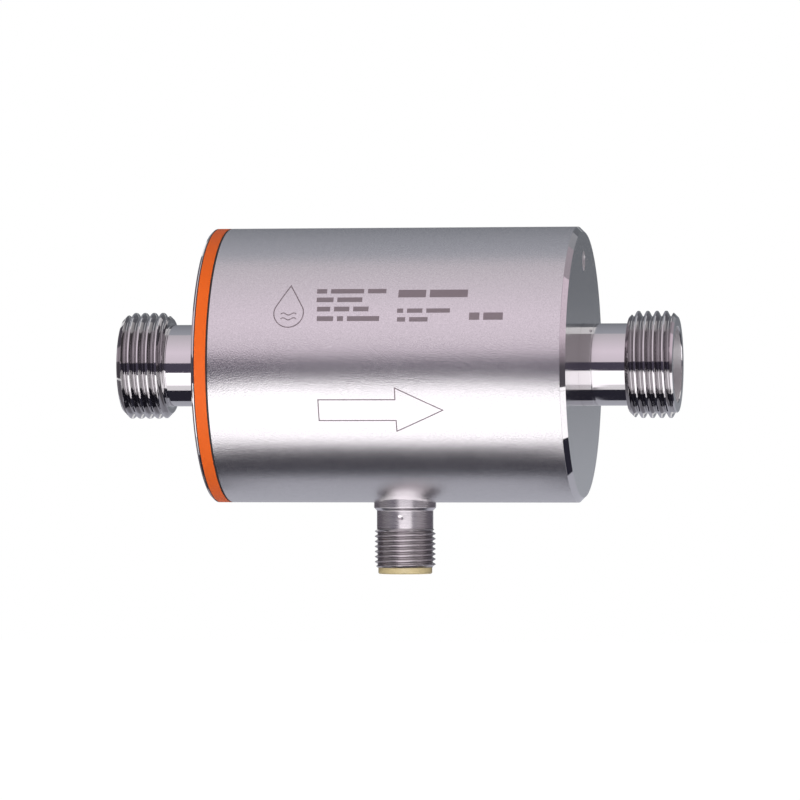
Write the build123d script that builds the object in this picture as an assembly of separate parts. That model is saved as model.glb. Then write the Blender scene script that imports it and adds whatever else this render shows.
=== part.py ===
from build123d import *

import os
from math import cos, radians, sin, sqrt

# Compact electromagnetic flow sensor: a round steel body with a threaded pipe end
# on each side and a round plug socket below.
# Millimetres. The origin is the middle of the flow axis, +X is the direction of
# flow, +Z is up, the plug socket points to -Z and -Y is the front.

# Body along the flow axis
BODY_LENGTH = 73.0
NECK_LENGTH = 8.5
PIPE_THREAD_LENGTH = 10.0
HOUSING_DIAMETER = 54.0
HOUSING_WALL = 1.5
END_WALL = 3.0
HOUSING_BEVEL = 1.0

# Stack between the end cover's lip and the housing's mouth
COVER_LIP = 0.5
COVER_BEVEL = 0.35
OUTER_GASKET_THICKNESS = 0.2
ACCENT_RING_WIDTH = 2.2
INNER_GASKET_THICKNESS = 0.4
GASKET_INSET = 0.12

# Spigot of the end cover
SPIGOT_LENGTH = 8.0
SPIGOT_WALL = 2.3
COVER_SEAL_DEPTH = 1.2
COVER_SEAL_WIDTH = 2.0
COVER_SEAL_FROM_MOUTH = 1.3
LOCK_RING_THICKNESS = 1.0
LOCK_RING_BITE = 0.4
LOCK_RING_FROM_MOUTH = 4.2
LOCK_RING_OPENING = 24.0

# Pipe ends
NECK_DIAMETER = 16.1
PIPE_THREAD_DIAMETER = 20.955
PIPE_THREAD_DEPTH = 1.162
PIPE_THREAD_RUNOUT = 0.9
MOUTH_DIAMETER = 14.8
MOUTH_TAPER_LENGTH = 9.5
FLANGE_THICKNESS = 3.0
NECK_SEAL_LAND = 1.4
NECK_SEAL_WIDTH = 2.0
NECK_SEAL_DEPTH = 1.1
FLANGE_LAND = 1.5
SOCKET_FLOOR = 1.5
SOCKET_DEPTH = 7.0
SOCKET_WALL = 3.0

# Measuring tube
MEASURING_BORE = 10.0
TUBE_WALL = 2.5
TUBE_END_STEP = 0.5
TUBE_END_LENGTH = 8.0
TUBE_SEAL_DEPTH = 1.3
TUBE_SEAL_WIDTH = 2.0

# Electrodes, one on each side of the tube
ELECTRODE_TIP_DIAMETER = 2.4
ELECTRODE_TIP_LENGTH = 2.2
ELECTRODE_HEAD_DIAMETER = 5.6
ELECTRODE_HEAD_THICKNESS = 1.2
ELECTRODE_STEM_DIAMETER = 2.0
ELECTRODE_STEM_OVERHANG = 2.0
ELECTRODE_NUT_DIAMETER = 5.9
ELECTRODE_NUT_THICKNESS = 2.0
ELECTRODE_SEAL_THICKNESS = 1.0
BOSS_WALL = 1.5

# Magnet system
POLE_LENGTH = 16.0
POLE_CORE_DIAMETER = 8.0
SHOE_WIDTH = 14.0
SHOE_BACK = 2.0
BOBBIN_DIAMETER = 17.0
BOBBIN_WALL = 0.8
WINDING_INSET = 0.3
YOKE_THICKNESS = 1.8
YOKE_WALL_GAP = 0.8
YOKE_CORNER = 5.0
YOKE_SCREW_DIAMETER = 3.0
YOKE_SCREW_LENGTH = 6.0
YOKE_SCREW_HEAD_DIAMETER = 5.6
YOKE_SCREW_KEY = 2.0

# Circuit board under the yoke
BOARD_STANDOFF = 4.9
BOARD_THICKNESS = 1.2
BOARD_EDGE_GAP = 0.4
BOARD_CORNER = 1.5
SPACER_HEIGHT = 1.1
SPACER_DIAMETER = 4.0
SPACER_SPACING_X = 11.0
SPACER_SPACING_Y = 20.0
BOARD_SCREW_DIAMETER = 2.0
BOARD_SCREW_HEAD_DIAMETER = 3.8
BOARD_SCREW_HEAD_THICKNESS = 1.2
PROCESSOR_SIZE = 9.0
CHIP_HEIGHT = 1.4
CHIP_CHAMFER = 0.35
SMALL_CHIP_LENGTH = 5.4
SMALL_CHIP_WIDTH = 6.3
SMALL_CHIP_SPACING = 14.3
CAPACITOR_DIAMETER = 5.0
CAPACITOR_HEIGHT = 3.4
CAPACITOR_SPACING = 6.0

# Leads from electrodes and windings to the board
LEAD_DIAMETER = 0.9
LEAD_BEND = 1.6
LEAD_GAP = 2.0
LEAD_SPREAD = 3.0

# Plug socket below the housing
SOCKET_OFFSET = 1.0
COLLAR_DIAMETER = 12.2
COLLAR_DROP = 1.0
SHANK_DIAMETER = 11.1
SHANK_LENGTH = 3.65
PLUG_THREAD_DIAMETER = 12.0
PLUG_THREAD_LENGTH = 7.55
PLUG_THREAD_CHAMFER = 0.5
SHELL_BORE = 9.8
SHELL_INTRUSION = 1.5
NOSE_DIAMETER = 10.6
NOSE_LENGTH = 1.25
NOSE_EDGE = 0.2
CAVITY_DIAMETER = 8.7
CAVITY_DEPTH = 9.0
DIMPLE_DIAMETER = 1.25
DIMPLE_DEPTH = 0.2
DIMPLE_DROP = 1.35
CARRIER_SEAL_DEPTH = 0.9
CARRIER_SEAL_WIDTH = 1.4
CARRIER_SEAL_RISE = 3.2
KEY_WIDTH = 1.1
KEY_HEIGHT = 0.7
PIN_CIRCLE = 5.0
PIN_DIAMETER = 1.0
PIN_COUNT = 4
PIN_RECESS = 1.0
PIN_TAIL = 0.5

# Filler plug in the right-hand end wall
PLUG_FROM_RIM = 6.7
PLUG_DIAMETER = 3.9
PLUG_RECESS = 0.15
PLUG_DISH = 0.6

# Clearances
SLIDING_FIT = 0.05
PIN_FIT = 0.02
SEAL_GAP = 0.02
POLE_GAP = 0.1
END_GAP = 0.1

# Places along the flow axis, on the right-hand side
face_x = BODY_LENGTH / 2
thread_start_x = face_x + NECK_LENGTH
end_x = thread_start_x + PIPE_THREAD_LENGTH
wall_x = face_x - END_WALL
flange_x = wall_x - FLANGE_THICKNESS
socket_floor_x = flange_x - SOCKET_FLOOR
socket_mouth_x = socket_floor_x - SOCKET_DEPTH
tube_end_x = socket_floor_x - END_GAP

# Places along the flow axis, on the cover's side
lip_x = -face_x + COVER_LIP
ring_left_x = lip_x + OUTER_GASKET_THICKNESS
ring_right_x = ring_left_x + ACCENT_RING_WIDTH
mouth_x = ring_right_x + INNER_GASKET_THICKNESS
cover_seal_x = mouth_x + COVER_SEAL_FROM_MOUTH + COVER_SEAL_WIDTH / 2
lock_ring_x = mouth_x + LOCK_RING_FROM_MOUTH
spigot_end_x = lip_x + SPIGOT_LENGTH

# Radii about the flow axis
housing_r = HOUSING_DIAMETER / 2
inner_r = housing_r - HOUSING_WALL
spigot_r = inner_r - SLIDING_FIT
neck_r = NECK_DIAMETER / 2
neck_hole_r = neck_r + SLIDING_FIT
thread_r = PIPE_THREAD_DIAMETER / 2
thread_root_r = thread_r - PIPE_THREAD_DEPTH
mouth_r = MOUTH_DIAMETER / 2
bore_r = MEASURING_BORE / 2
tube_r = bore_r + TUBE_WALL
tube_end_r = tube_r + TUBE_END_STEP
socket_r = tube_end_r + SLIDING_FIT
neck_seal_inner_r = neck_r + NECK_SEAL_LAND
neck_seal_outer_r = neck_seal_inner_r + NECK_SEAL_WIDTH
flange_r = neck_seal_outer_r + FLANGE_LAND

# Places along an electrode, outward from the flow axis
electrode_head_y = bore_r + ELECTRODE_TIP_LENGTH
electrode_nut_y = electrode_head_y + ELECTRODE_HEAD_THICKNESS
boss_top_y = electrode_nut_y + ELECTRODE_NUT_THICKNESS + END_GAP
boss_bore_r = ELECTRODE_NUT_DIAMETER / 2 + SLIDING_FIT
boss_r = boss_bore_r + BOSS_WALL
electrode_seal_r = ELECTRODE_TIP_DIAMETER / 2 + ELECTRODE_SEAL_THICKNESS

# Heights in the magnet system, above the flow axis; the lower half is its mirror image
shoe_low_z = boss_r + POLE_GAP
shoe_top_z = tube_r + POLE_GAP + SHOE_BACK
yoke_top_z = inner_r - BOARD_STANDOFF - BOARD_THICKNESS - SPACER_HEIGHT
yoke_inner_z = yoke_top_z - YOKE_THICKNESS
yoke_corner_z = yoke_top_z - YOKE_CORNER
yoke_corner_y = sqrt((inner_r - YOKE_WALL_GAP - YOKE_CORNER) ** 2 - yoke_corner_z**2)
yoke_side_y = yoke_corner_y + YOKE_CORNER
core_r = POLE_CORE_DIAMETER / 2
bobbin_bore_r = core_r + SLIDING_FIT
barrel_r = bobbin_bore_r + BOBBIN_WALL
bobbin_r = BOBBIN_DIAMETER / 2
screw_r = YOKE_SCREW_DIAMETER / 2
screw_head_r = YOKE_SCREW_HEAD_DIAMETER / 2

# Circuit board
board_low_z = -(inner_r - BOARD_STANDOFF)
board_top_z = board_low_z + BOARD_THICKNESS
board_half_width = sqrt((inner_r - BOARD_EDGE_GAP) ** 2 - board_low_z**2)
board_half_length = -spigot_end_x - 2 * BOARD_EDGE_GAP
board_screw_r = BOARD_SCREW_DIAMETER / 2

# Leads
lead_r = LEAD_DIAMETER / 2
lead_x = max(bobbin_r, POLE_LENGTH / 2) + LEAD_GAP
lead_y = boss_top_y + END_GAP + lead_r
winding_r = bobbin_r - WINDING_INSET
winding_middle_z = (shoe_top_z + yoke_inner_z) / 2

# Heights and radii of the plug socket
collar_r = COLLAR_DIAMETER / 2
shank_r = SHANK_DIAMETER / 2
plug_thread_r = PLUG_THREAD_DIAMETER / 2
shell_bore_r = SHELL_BORE / 2
collar_low_z = -housing_r - COLLAR_DROP
shank_top_z = collar_low_z - (collar_r - shank_r)
plug_thread_top_z = shank_top_z - SHANK_LENGTH
shell_end_z = plug_thread_top_z - PLUG_THREAD_LENGTH
nose_end_z = shell_end_z - NOSE_LENGTH
shell_top_z = -inner_r + SHELL_INTRUSION
carrier_r = shell_bore_r - PIN_FIT
cavity_r = CAVITY_DIAMETER / 2
nose_r = NOSE_DIAMETER / 2
cavity_floor_z = nose_end_z + CAVITY_DEPTH
carrier_seal_z = cavity_floor_z + CARRIER_SEAL_RISE
pin_r = PIN_DIAMETER / 2
pin_tip_z = nose_end_z + PIN_RECESS
pin_tail_z = board_top_z + PIN_TAIL

plug_r = PLUG_DIAMETER / 2
plug_z = housing_r - PLUG_FROM_RIM


def turned(points, axis=Axis.X):
    """A solid turned about the axis from (place, radius) points, or (radius, place) about Y."""
    return revolve(make_face(Polyline(*points, close=True)), axis)


def turned_upright(points):
    """A solid turned about the socket's upright axis from (radius, height) points."""
    outline = make_face(Polyline(*[(radius, 0, height) for radius, height in points], close=True))
    return Pos(SOCKET_OFFSET, 0, 0) * revolve(outline, Axis.Z)


def ring(left, right, inner, outer):
    """A plain ring about the flow axis."""
    return turned([(left, inner), (right, inner), (right, outer), (left, outer)])


def squeezed_section(length, height):
    """The section of a seal pressed flat on two sides, as (along, across) points about its middle."""
    flat = length / 4
    half = length / 2
    return [
        (-flat, -height / 2),
        (flat, -height / 2),
        (half, 0),
        (flat, height / 2),
        (-flat, height / 2),
        (-half, 0),
    ]


def radial_seal(place, width, inner, outer):
    """A seal squeezed between an inner and an outer wall about the flow axis."""
    section = squeezed_section(width - 2 * SEAL_GAP, outer - inner - 2 * SEAL_GAP)
    middle = (inner + outer) / 2
    return turned([(place + along, middle + across) for along, across in section])


def other_end(solid):
    """The mirror image at the inlet end of a solid made for the outlet end."""
    return mirror(solid, Plane.YZ)


def other_side(solid):
    """The mirror image on the rear of a solid made for the front."""
    return mirror(solid, Plane.XZ)


def below(solid):
    """The mirror image under the flow axis of a solid made above it."""
    return mirror(solid, Plane.XY)


def build_housing():
    """The cup: cylinder and right-hand end wall in one, with holes for neck, socket and plug."""
    groove_left = lock_ring_x - LOCK_RING_THICKNESS / 2 - SLIDING_FIT
    groove_right = lock_ring_x + LOCK_RING_THICKNESS / 2 + SLIDING_FIT
    groove_r = inner_r + LOCK_RING_BITE
    cup = turned(
        [
            (mouth_x, inner_r),
            (mouth_x, housing_r),
            (face_x - HOUSING_BEVEL, housing_r),
            (face_x, housing_r - HOUSING_BEVEL),
            (face_x, neck_hole_r),
            (wall_x, neck_hole_r),
            (wall_x, inner_r),
            (groove_right, inner_r),
            (groove_right, groove_r),
            (groove_left, groove_r),
            (groove_left, inner_r),
        ]
    )
    socket_hole = Pos(SOCKET_OFFSET, 0, -housing_r) * Cylinder(collar_r + SLIDING_FIT, housing_r)
    plug_hole = Pos(face_x, 0, plug_z) * Rot(0, 90, 0) * Cylinder(plug_r + PIN_FIT, 4 * END_WALL)
    return cup - socket_hole - plug_hole


def build_end_cover():
    """The turned cover: lip with a bevelled rim, end disc, and spigot with two grooves."""
    disc_x = -face_x + END_WALL
    seal_left = cover_seal_x - COVER_SEAL_WIDTH / 2
    seal_right = cover_seal_x + COVER_SEAL_WIDTH / 2
    seal_r = spigot_r - COVER_SEAL_DEPTH
    lock_left = lock_ring_x - LOCK_RING_THICKNESS / 2 - SLIDING_FIT
    lock_right = lock_ring_x + LOCK_RING_THICKNESS / 2 + SLIDING_FIT
    lock_r = inner_r + LOCK_RING_BITE - LOCK_RING_THICKNESS - SLIDING_FIT
    return turned(
        [
            (-face_x, neck_hole_r),
            (-face_x, housing_r - COVER_BEVEL),
            (-face_x + COVER_BEVEL, housing_r),
            (lip_x, housing_r),
            (lip_x, spigot_r),
            (seal_left, spigot_r),
            (seal_left, seal_r),
            (seal_right, seal_r),
            (seal_right, spigot_r),
            (lock_left, spigot_r),
            (lock_left, lock_r),
            (lock_right, lock_r),
            (lock_right, spigot_r),
            (spigot_end_x, spigot_r),
            (spigot_end_x, spigot_r - SPIGOT_WALL),
            (disc_x, spigot_r - SPIGOT_WALL),
            (disc_x, neck_hole_r),
        ]
    )


def build_cover_lock_ring():
    """The split spring ring that holds the cover in the housing."""
    outer = inner_r + LOCK_RING_BITE - SEAL_GAP
    half = LOCK_RING_THICKNESS / 2
    wire = make_face(
        Polyline(
            (lock_ring_x - half, outer - LOCK_RING_THICKNESS + SEAL_GAP),
            (lock_ring_x + half, outer - LOCK_RING_THICKNESS + SEAL_GAP),
            (lock_ring_x + half, outer),
            (lock_ring_x - half, outer),
            close=True,
        )
    )
    return Rot(LOCK_RING_OPENING / 2, 0, 0) * revolve(wire, Axis.X, 360 - LOCK_RING_OPENING)


def build_fitting():
    """The outlet pipe end: thread, neck, inner flange with its seal groove, and tube socket."""
    return turned(
        [
            (socket_mouth_x, socket_r),
            (socket_mouth_x, socket_r + SOCKET_WALL),
            (flange_x, socket_r + SOCKET_WALL),
            (flange_x, flange_r),
            (wall_x, flange_r),
            (wall_x, neck_seal_outer_r),
            (wall_x - NECK_SEAL_DEPTH, neck_seal_outer_r),
            (wall_x - NECK_SEAL_DEPTH, neck_seal_inner_r),
            (wall_x, neck_seal_inner_r),
            (wall_x, neck_r),
            (thread_start_x, neck_r),
            (thread_start_x, thread_r - PIPE_THREAD_RUNOUT),
            (thread_start_x + PIPE_THREAD_RUNOUT, thread_r),
            (end_x - PIPE_THREAD_DEPTH, thread_r),
            (end_x, thread_root_r),
            (end_x, mouth_r),
            (end_x - MOUTH_TAPER_LENGTH, bore_r),
            (socket_floor_x, bore_r),
            (socket_floor_x, socket_r),
        ]
    )


def build_neck_seal():
    """The seal in the flange's face, squeezed against the inside of the end wall."""
    depth = NECK_SEAL_DEPTH
    section = squeezed_section(NECK_SEAL_WIDTH - 2 * SEAL_GAP, depth - 2 * SEAL_GAP)
    middle = (neck_seal_inner_r + neck_seal_outer_r) / 2
    return turned([(wall_x - depth / 2 + along, middle + across) for across, along in section])


def build_measuring_tube():
    """The plastic tube with a seal groove at each end and a boss for each electrode."""
    step_x = tube_end_x - TUBE_END_LENGTH
    seal_x = socket_floor_x - SOCKET_DEPTH / 2
    groove_left = seal_x - TUBE_SEAL_WIDTH / 2
    groove_right = seal_x + TUBE_SEAL_WIDTH / 2
    groove_r = tube_end_r - TUBE_SEAL_DEPTH
    right_half = [
        (step_x, tube_r),
        (step_x, tube_end_r),
        (groove_left, tube_end_r),
        (groove_left, groove_r),
        (groove_right, groove_r),
        (groove_right, tube_end_r),
        (tube_end_x, tube_end_r),
        (tube_end_x, bore_r),
    ]
    left_half = [(-place, radius) for place, radius in reversed(right_half)]
    tube = turned(left_half + right_half)
    boss = Rot(90, 0, 0) * Cylinder(boss_r, 2 * boss_top_y)
    seats = turned(
        [
            (0, -boss_top_y - END_GAP),
            (boss_bore_r, -boss_top_y - END_GAP),
            (boss_bore_r, -electrode_head_y),
            (electrode_seal_r, -electrode_head_y),
            (electrode_seal_r, -electrode_head_y + ELECTRODE_SEAL_THICKNESS),
            (ELECTRODE_TIP_DIAMETER / 2 + PIN_FIT, -electrode_head_y + ELECTRODE_SEAL_THICKNESS),
            (ELECTRODE_TIP_DIAMETER / 2 + PIN_FIT, 0),
            (0, 0),
        ],
        Axis.Y,
    )
    bore = Rot(0, 90, 0) * Cylinder(bore_r, 2 * tube_end_x)
    return tube + boss - bore - seats - other_side(seats)


def build_electrode():
    """The front electrode: tip in the bore's wall, head on its seat, and stem."""
    stem_end_y = electrode_nut_y + ELECTRODE_NUT_THICKNESS + ELECTRODE_STEM_OVERHANG
    return turned(
        [
            (0, -bore_r),
            (ELECTRODE_TIP_DIAMETER / 2, -bore_r),
            (ELECTRODE_TIP_DIAMETER / 2, -electrode_head_y),
            (ELECTRODE_HEAD_DIAMETER / 2, -electrode_head_y),
            (ELECTRODE_HEAD_DIAMETER / 2, -electrode_nut_y),
            (ELECTRODE_STEM_DIAMETER / 2, -electrode_nut_y),
            (ELECTRODE_STEM_DIAMETER / 2, -stem_end_y),
            (0, -stem_end_y),
        ],
        Axis.Y,
    )


def build_electrode_seal():
    """The seal round the electrode's tip, under its head."""
    inner = ELECTRODE_TIP_DIAMETER / 2
    section = squeezed_section(
        electrode_seal_r - inner - 2 * SEAL_GAP, ELECTRODE_SEAL_THICKNESS - 2 * SEAL_GAP
    )
    middle_r = (inner + electrode_seal_r) / 2
    middle_y = -electrode_head_y + ELECTRODE_SEAL_THICKNESS / 2
    return turned([(middle_r + across, middle_y + along) for across, along in section], Axis.Y)


def build_electrode_nut():
    """The ring nut in the boss that presses the electrode on its seal, with a driver slot."""
    nut_top_y = electrode_nut_y + ELECTRODE_NUT_THICKNESS
    nut_r = ELECTRODE_NUT_DIAMETER / 2
    hole_r = ELECTRODE_STEM_DIAMETER / 2 + SLIDING_FIT
    body = turned(
        [
            (hole_r, -electrode_nut_y),
            (nut_r, -electrode_nut_y),
            (nut_r, -nut_top_y),
            (hole_r, -nut_top_y),
        ],
        Axis.Y,
    )
    slot_depth = ELECTRODE_NUT_THICKNESS / 2
    slot = Pos(0, -nut_top_y, 0) * Box(2 * nut_r, slot_depth, ELECTRODE_STEM_DIAMETER / 2)
    return body - slot


def build_pole():
    """The upper pole: a curved shoe over the tube and a round core with a tapped hole."""
    shoe = Pos(0, 0, shoe_low_z) * Box(
        POLE_LENGTH, SHOE_WIDTH, shoe_top_z - shoe_low_z, align=(Align.CENTER, Align.CENTER, Align.MIN)
    )
    saddle = Rot(0, 90, 0) * Cylinder(tube_r + POLE_GAP, 2 * POLE_LENGTH)
    core = Pos(0, 0, shoe_top_z) * Cylinder(
        core_r, yoke_inner_z - shoe_top_z, align=(Align.CENTER, Align.CENTER, Align.MIN)
    )
    tapped_depth = YOKE_SCREW_LENGTH - YOKE_THICKNESS + END_GAP
    tapped_hole = Pos(0, 0, yoke_inner_z) * Cylinder(
        screw_r + PIN_FIT, tapped_depth, align=(Align.CENTER, Align.CENTER, Align.MAX)
    )
    return shoe - saddle + core - tapped_hole


def build_bobbin():
    """The upper coil former: a barrel between two flanges."""
    low_z = shoe_top_z
    top_z = yoke_inner_z
    spool = make_face(
        Polyline(
            (bobbin_bore_r, 0, low_z),
            (bobbin_r, 0, low_z),
            (bobbin_r, 0, low_z + BOBBIN_WALL),
            (barrel_r, 0, low_z + BOBBIN_WALL),
            (barrel_r, 0, top_z - BOBBIN_WALL),
            (bobbin_r, 0, top_z - BOBBIN_WALL),
            (bobbin_r, 0, top_z),
            (bobbin_bore_r, 0, top_z),
            close=True,
        )
    )
    return revolve(spool, Axis.Z)


def build_winding():
    """The upper copper winding, wound between the former's flanges."""
    low_z = shoe_top_z + BOBBIN_WALL
    top_z = yoke_inner_z - BOBBIN_WALL
    coil = make_face(
        Polyline(
            (barrel_r, 0, low_z),
            (winding_r, 0, low_z),
            (winding_r, 0, top_z),
            (barrel_r, 0, top_z),
            close=True,
        )
    )
    return revolve(coil, Axis.Z)


def board_screw_places():
    """The four (x, y) places where the board hangs from the yoke."""
    return [
        (side_x * SPACER_SPACING_X / 2, side_y * SPACER_SPACING_Y / 2)
        for side_x in (-1, 1)
        for side_y in (-1, 1)
    ]


def build_magnet_yoke():
    """The bent steel frame round both coils, with countersunk holes for the pole screws."""
    outer = Plane.YZ * RectangleRounded(2 * yoke_side_y, 2 * yoke_top_z, YOKE_CORNER)
    inner_half_width = yoke_side_y - YOKE_THICKNESS
    inner = Plane.YZ * RectangleRounded(2 * inner_half_width, 2 * yoke_inner_z, YOKE_CORNER - YOKE_THICKNESS)
    frame = extrude(outer - inner, POLE_LENGTH / 2, both=True)
    hole_r = screw_r + SLIDING_FIT
    head_r = screw_head_r + SLIDING_FIT
    countersink = make_face(
        Polyline(
            (0, 0, yoke_top_z),
            (head_r, 0, yoke_top_z),
            (hole_r, 0, yoke_top_z - (head_r - hole_r)),
            (hole_r, 0, yoke_inner_z - END_GAP),
            (0, 0, yoke_inner_z - END_GAP),
            close=True,
        )
    )
    screw_hole = revolve(countersink, Axis.Z)
    frame = frame - screw_hole - below(screw_hole)
    for x, y in board_screw_places():
        frame -= Pos(x, y, -(yoke_top_z + yoke_inner_z) / 2) * Cylinder(
            board_screw_r + PIN_FIT, 2 * YOKE_THICKNESS
        )
    return frame


def build_yoke_screw():
    """The upper countersunk screw through the yoke into the pole, with a hexagon recess."""
    tip_z = yoke_top_z - YOKE_SCREW_LENGTH
    shape = make_face(
        Polyline(
            (0, 0, yoke_top_z),
            (screw_head_r, 0, yoke_top_z),
            (screw_r, 0, yoke_top_z - (screw_head_r - screw_r)),
            (screw_r, 0, tip_z),
            (0, 0, tip_z),
            close=True,
        )
    )
    recess_depth = YOKE_THICKNESS / 2
    hexagon = RegularPolygon(YOKE_SCREW_KEY / 2, 6, major_radius=False)
    recess = Pos(0, 0, yoke_top_z - recess_depth) * extrude(hexagon, recess_depth)
    return revolve(shape, Axis.Z) - recess


def build_circuit_board():
    """The board under the yoke, with holes for its screws and for the socket's pins."""
    outline = RectangleRounded(2 * board_half_length, 2 * board_half_width, BOARD_CORNER)
    board = Pos(0, 0, board_low_z) * extrude(outline, BOARD_THICKNESS)
    middle_z = (board_low_z + board_top_z) / 2
    for x, y in board_screw_places():
        board -= Pos(x, y, middle_z) * Cylinder(board_screw_r + PIN_FIT, 2 * BOARD_THICKNESS)
    for x, y in pin_places():
        board -= Pos(x, y, middle_z) * Cylinder(pin_r + SLIDING_FIT, 2 * BOARD_THICKNESS)
    return board


def build_board_spacers():
    """The four tubes between yoke and board."""
    tube = Cylinder(SPACER_DIAMETER / 2, SPACER_HEIGHT) - Cylinder(
        board_screw_r + PIN_FIT, 2 * SPACER_HEIGHT
    )
    middle_z = board_top_z + SPACER_HEIGHT / 2
    return [Pos(x, y, middle_z) * tube for x, y in board_screw_places()]


def build_board_screws():
    """The four screws from under the board through spacer and yoke."""
    head_low_z = board_low_z - BOARD_SCREW_HEAD_THICKNESS
    shank_length = BOARD_THICKNESS + SPACER_HEIGHT + YOKE_THICKNESS
    base = (Align.CENTER, Align.CENTER, Align.MIN)
    head = Cylinder(BOARD_SCREW_HEAD_DIAMETER / 2, BOARD_SCREW_HEAD_THICKNESS, align=base)
    shank = Cylinder(board_screw_r, shank_length, align=base)
    slot_height = BOARD_SCREW_HEAD_THICKNESS / 2
    slot = Box(BOARD_SCREW_HEAD_DIAMETER, board_screw_r / 2, slot_height, align=base)
    screw = Pos(0, 0, head_low_z) * (head - slot) + Pos(0, 0, board_low_z) * shank
    return [Pos(x, y, 0) * screw for x, y in board_screw_places()]


def lead(*points):
    """A round wire along straight runs joined by bends."""
    path = FilletPolyline(*points, radius=LEAD_BEND)
    section = Plane(origin=path @ 0, z_dir=path % 0) * Circle(lead_r)
    return sweep(section, path=path)


def build_electrode_leads():
    """The two wires from the electrodes' stems to the board."""
    start_x = ELECTRODE_STEM_DIAMETER / 2 + PIN_FIT
    front = lead((start_x, -lead_y, 0), (lead_x, -lead_y, 0), (lead_x, -lead_y, board_top_z))
    return [front, other_side(front)]


def build_coil_leads():
    """The two wires from each winding to the board."""
    start_x = sqrt(winding_r**2 - (LEAD_SPREAD - lead_r) ** 2) + PIN_FIT
    lower = lead(
        (start_x, -LEAD_SPREAD, -winding_middle_z),
        (lead_x, -LEAD_SPREAD, -winding_middle_z),
        (lead_x, -LEAD_SPREAD, board_top_z),
    )
    upper = lead(
        (0, -winding_r - PIN_FIT, winding_middle_z),
        (0, -lead_y, winding_middle_z),
        (-lead_x, -lead_y, winding_middle_z),
        (-lead_x, -lead_y, board_top_z),
    )
    return [lower, other_side(lower), upper, other_side(upper)]


def under_board(x, y, width, depth, height):
    """A chip's body under the board, its middle at (x, y)."""
    return Pos(x, y, board_low_z) * Box(
        width, depth, height, align=(Align.CENTER, Align.CENTER, Align.MAX)
    )


def build_processor():
    """The square processor, left of the socket."""
    middle_x = SOCKET_OFFSET - collar_r - PROCESSOR_SIZE
    body = under_board(middle_x, 0, PROCESSOR_SIZE, PROCESSOR_SIZE, CHIP_HEIGHT)
    return chamfer(body.edges().group_by(Axis.Z)[0], CHIP_CHAMFER)


def build_board_chips():
    """The amplifier and the coil driver, right of the socket."""
    row_x = SOCKET_OFFSET + collar_r + PROCESSOR_SIZE / 2
    chips = []
    for side in (-1, 1):
        middle_y = side * SMALL_CHIP_SPACING / 2
        body = under_board(row_x, middle_y, SMALL_CHIP_LENGTH, SMALL_CHIP_WIDTH, CHIP_HEIGHT)
        chips.append(chamfer(body.edges().group_by(Axis.Z)[0], CHIP_CHAMFER))
    return chips


def build_capacitors():
    """The two round capacitors near the board's right-hand end."""
    row_x = board_half_length - CAPACITOR_DIAMETER
    upright = Cylinder(
        CAPACITOR_DIAMETER / 2, CAPACITOR_HEIGHT, align=(Align.CENTER, Align.CENTER, Align.MAX)
    )
    return [Pos(row_x, side * CAPACITOR_SPACING / 2, board_low_z) * upright for side in (-1, 1)]


def build_connector_shell():
    """The socket's steel shell: collar through the wall, cone, dimpled shank, and plug thread."""
    thread_step = plug_thread_r - shank_r
    shell = turned_upright(
        [
            (shell_bore_r, shell_top_z),
            (collar_r, shell_top_z),
            (collar_r, collar_low_z),
            (shank_r, shank_top_z),
            (shank_r, plug_thread_top_z),
            (plug_thread_r, plug_thread_top_z - thread_step),
            (plug_thread_r, shell_end_z + PLUG_THREAD_CHAMFER),
            (plug_thread_r - PLUG_THREAD_CHAMFER, shell_end_z),
            (shell_bore_r, shell_end_z),
        ]
    )
    dimple_r = DIMPLE_DIAMETER / 2
    ball_r = (dimple_r**2 + DIMPLE_DEPTH**2) / (2 * DIMPLE_DEPTH)
    ball_y = -shank_r - ball_r + DIMPLE_DEPTH
    return shell - Pos(SOCKET_OFFSET, ball_y, shank_top_z - DIMPLE_DROP) * Sphere(ball_r)


def pin_places():
    """The (x, y) places of the socket's pins, on a circle, between the axes."""
    step = 360 / PIN_COUNT
    angles = [radians(step * (number + 0.5)) for number in range(PIN_COUNT)]
    radius = PIN_CIRCLE / 2
    return [(SOCKET_OFFSET + radius * cos(angle), radius * sin(angle)) for angle in angles]


def build_socket_liner():
    """The yellow sleeve in the shell: nose rim over the shell's end, cavity wall, and key."""
    sleeve = turned_upright(
        [
            (carrier_r, cavity_floor_z),
            (carrier_r, shell_end_z),
            (nose_r, shell_end_z),
            (nose_r, nose_end_z + NOSE_EDGE),
            (nose_r - NOSE_EDGE, nose_end_z),
            (cavity_r, nose_end_z),
            (cavity_r, cavity_floor_z),
        ]
    )
    key_length = CAVITY_DEPTH - PIN_RECESS
    key_root = carrier_r - cavity_r
    key = Pos(SOCKET_OFFSET, -cavity_r, cavity_floor_z) * Box(
        KEY_WIDTH,
        KEY_HEIGHT + key_root / 2,
        key_length,
        align=(Align.CENTER, Align.MIN, Align.MAX),
    )
    return sleeve + Pos(0, -key_root / 2, 0) * key


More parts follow.
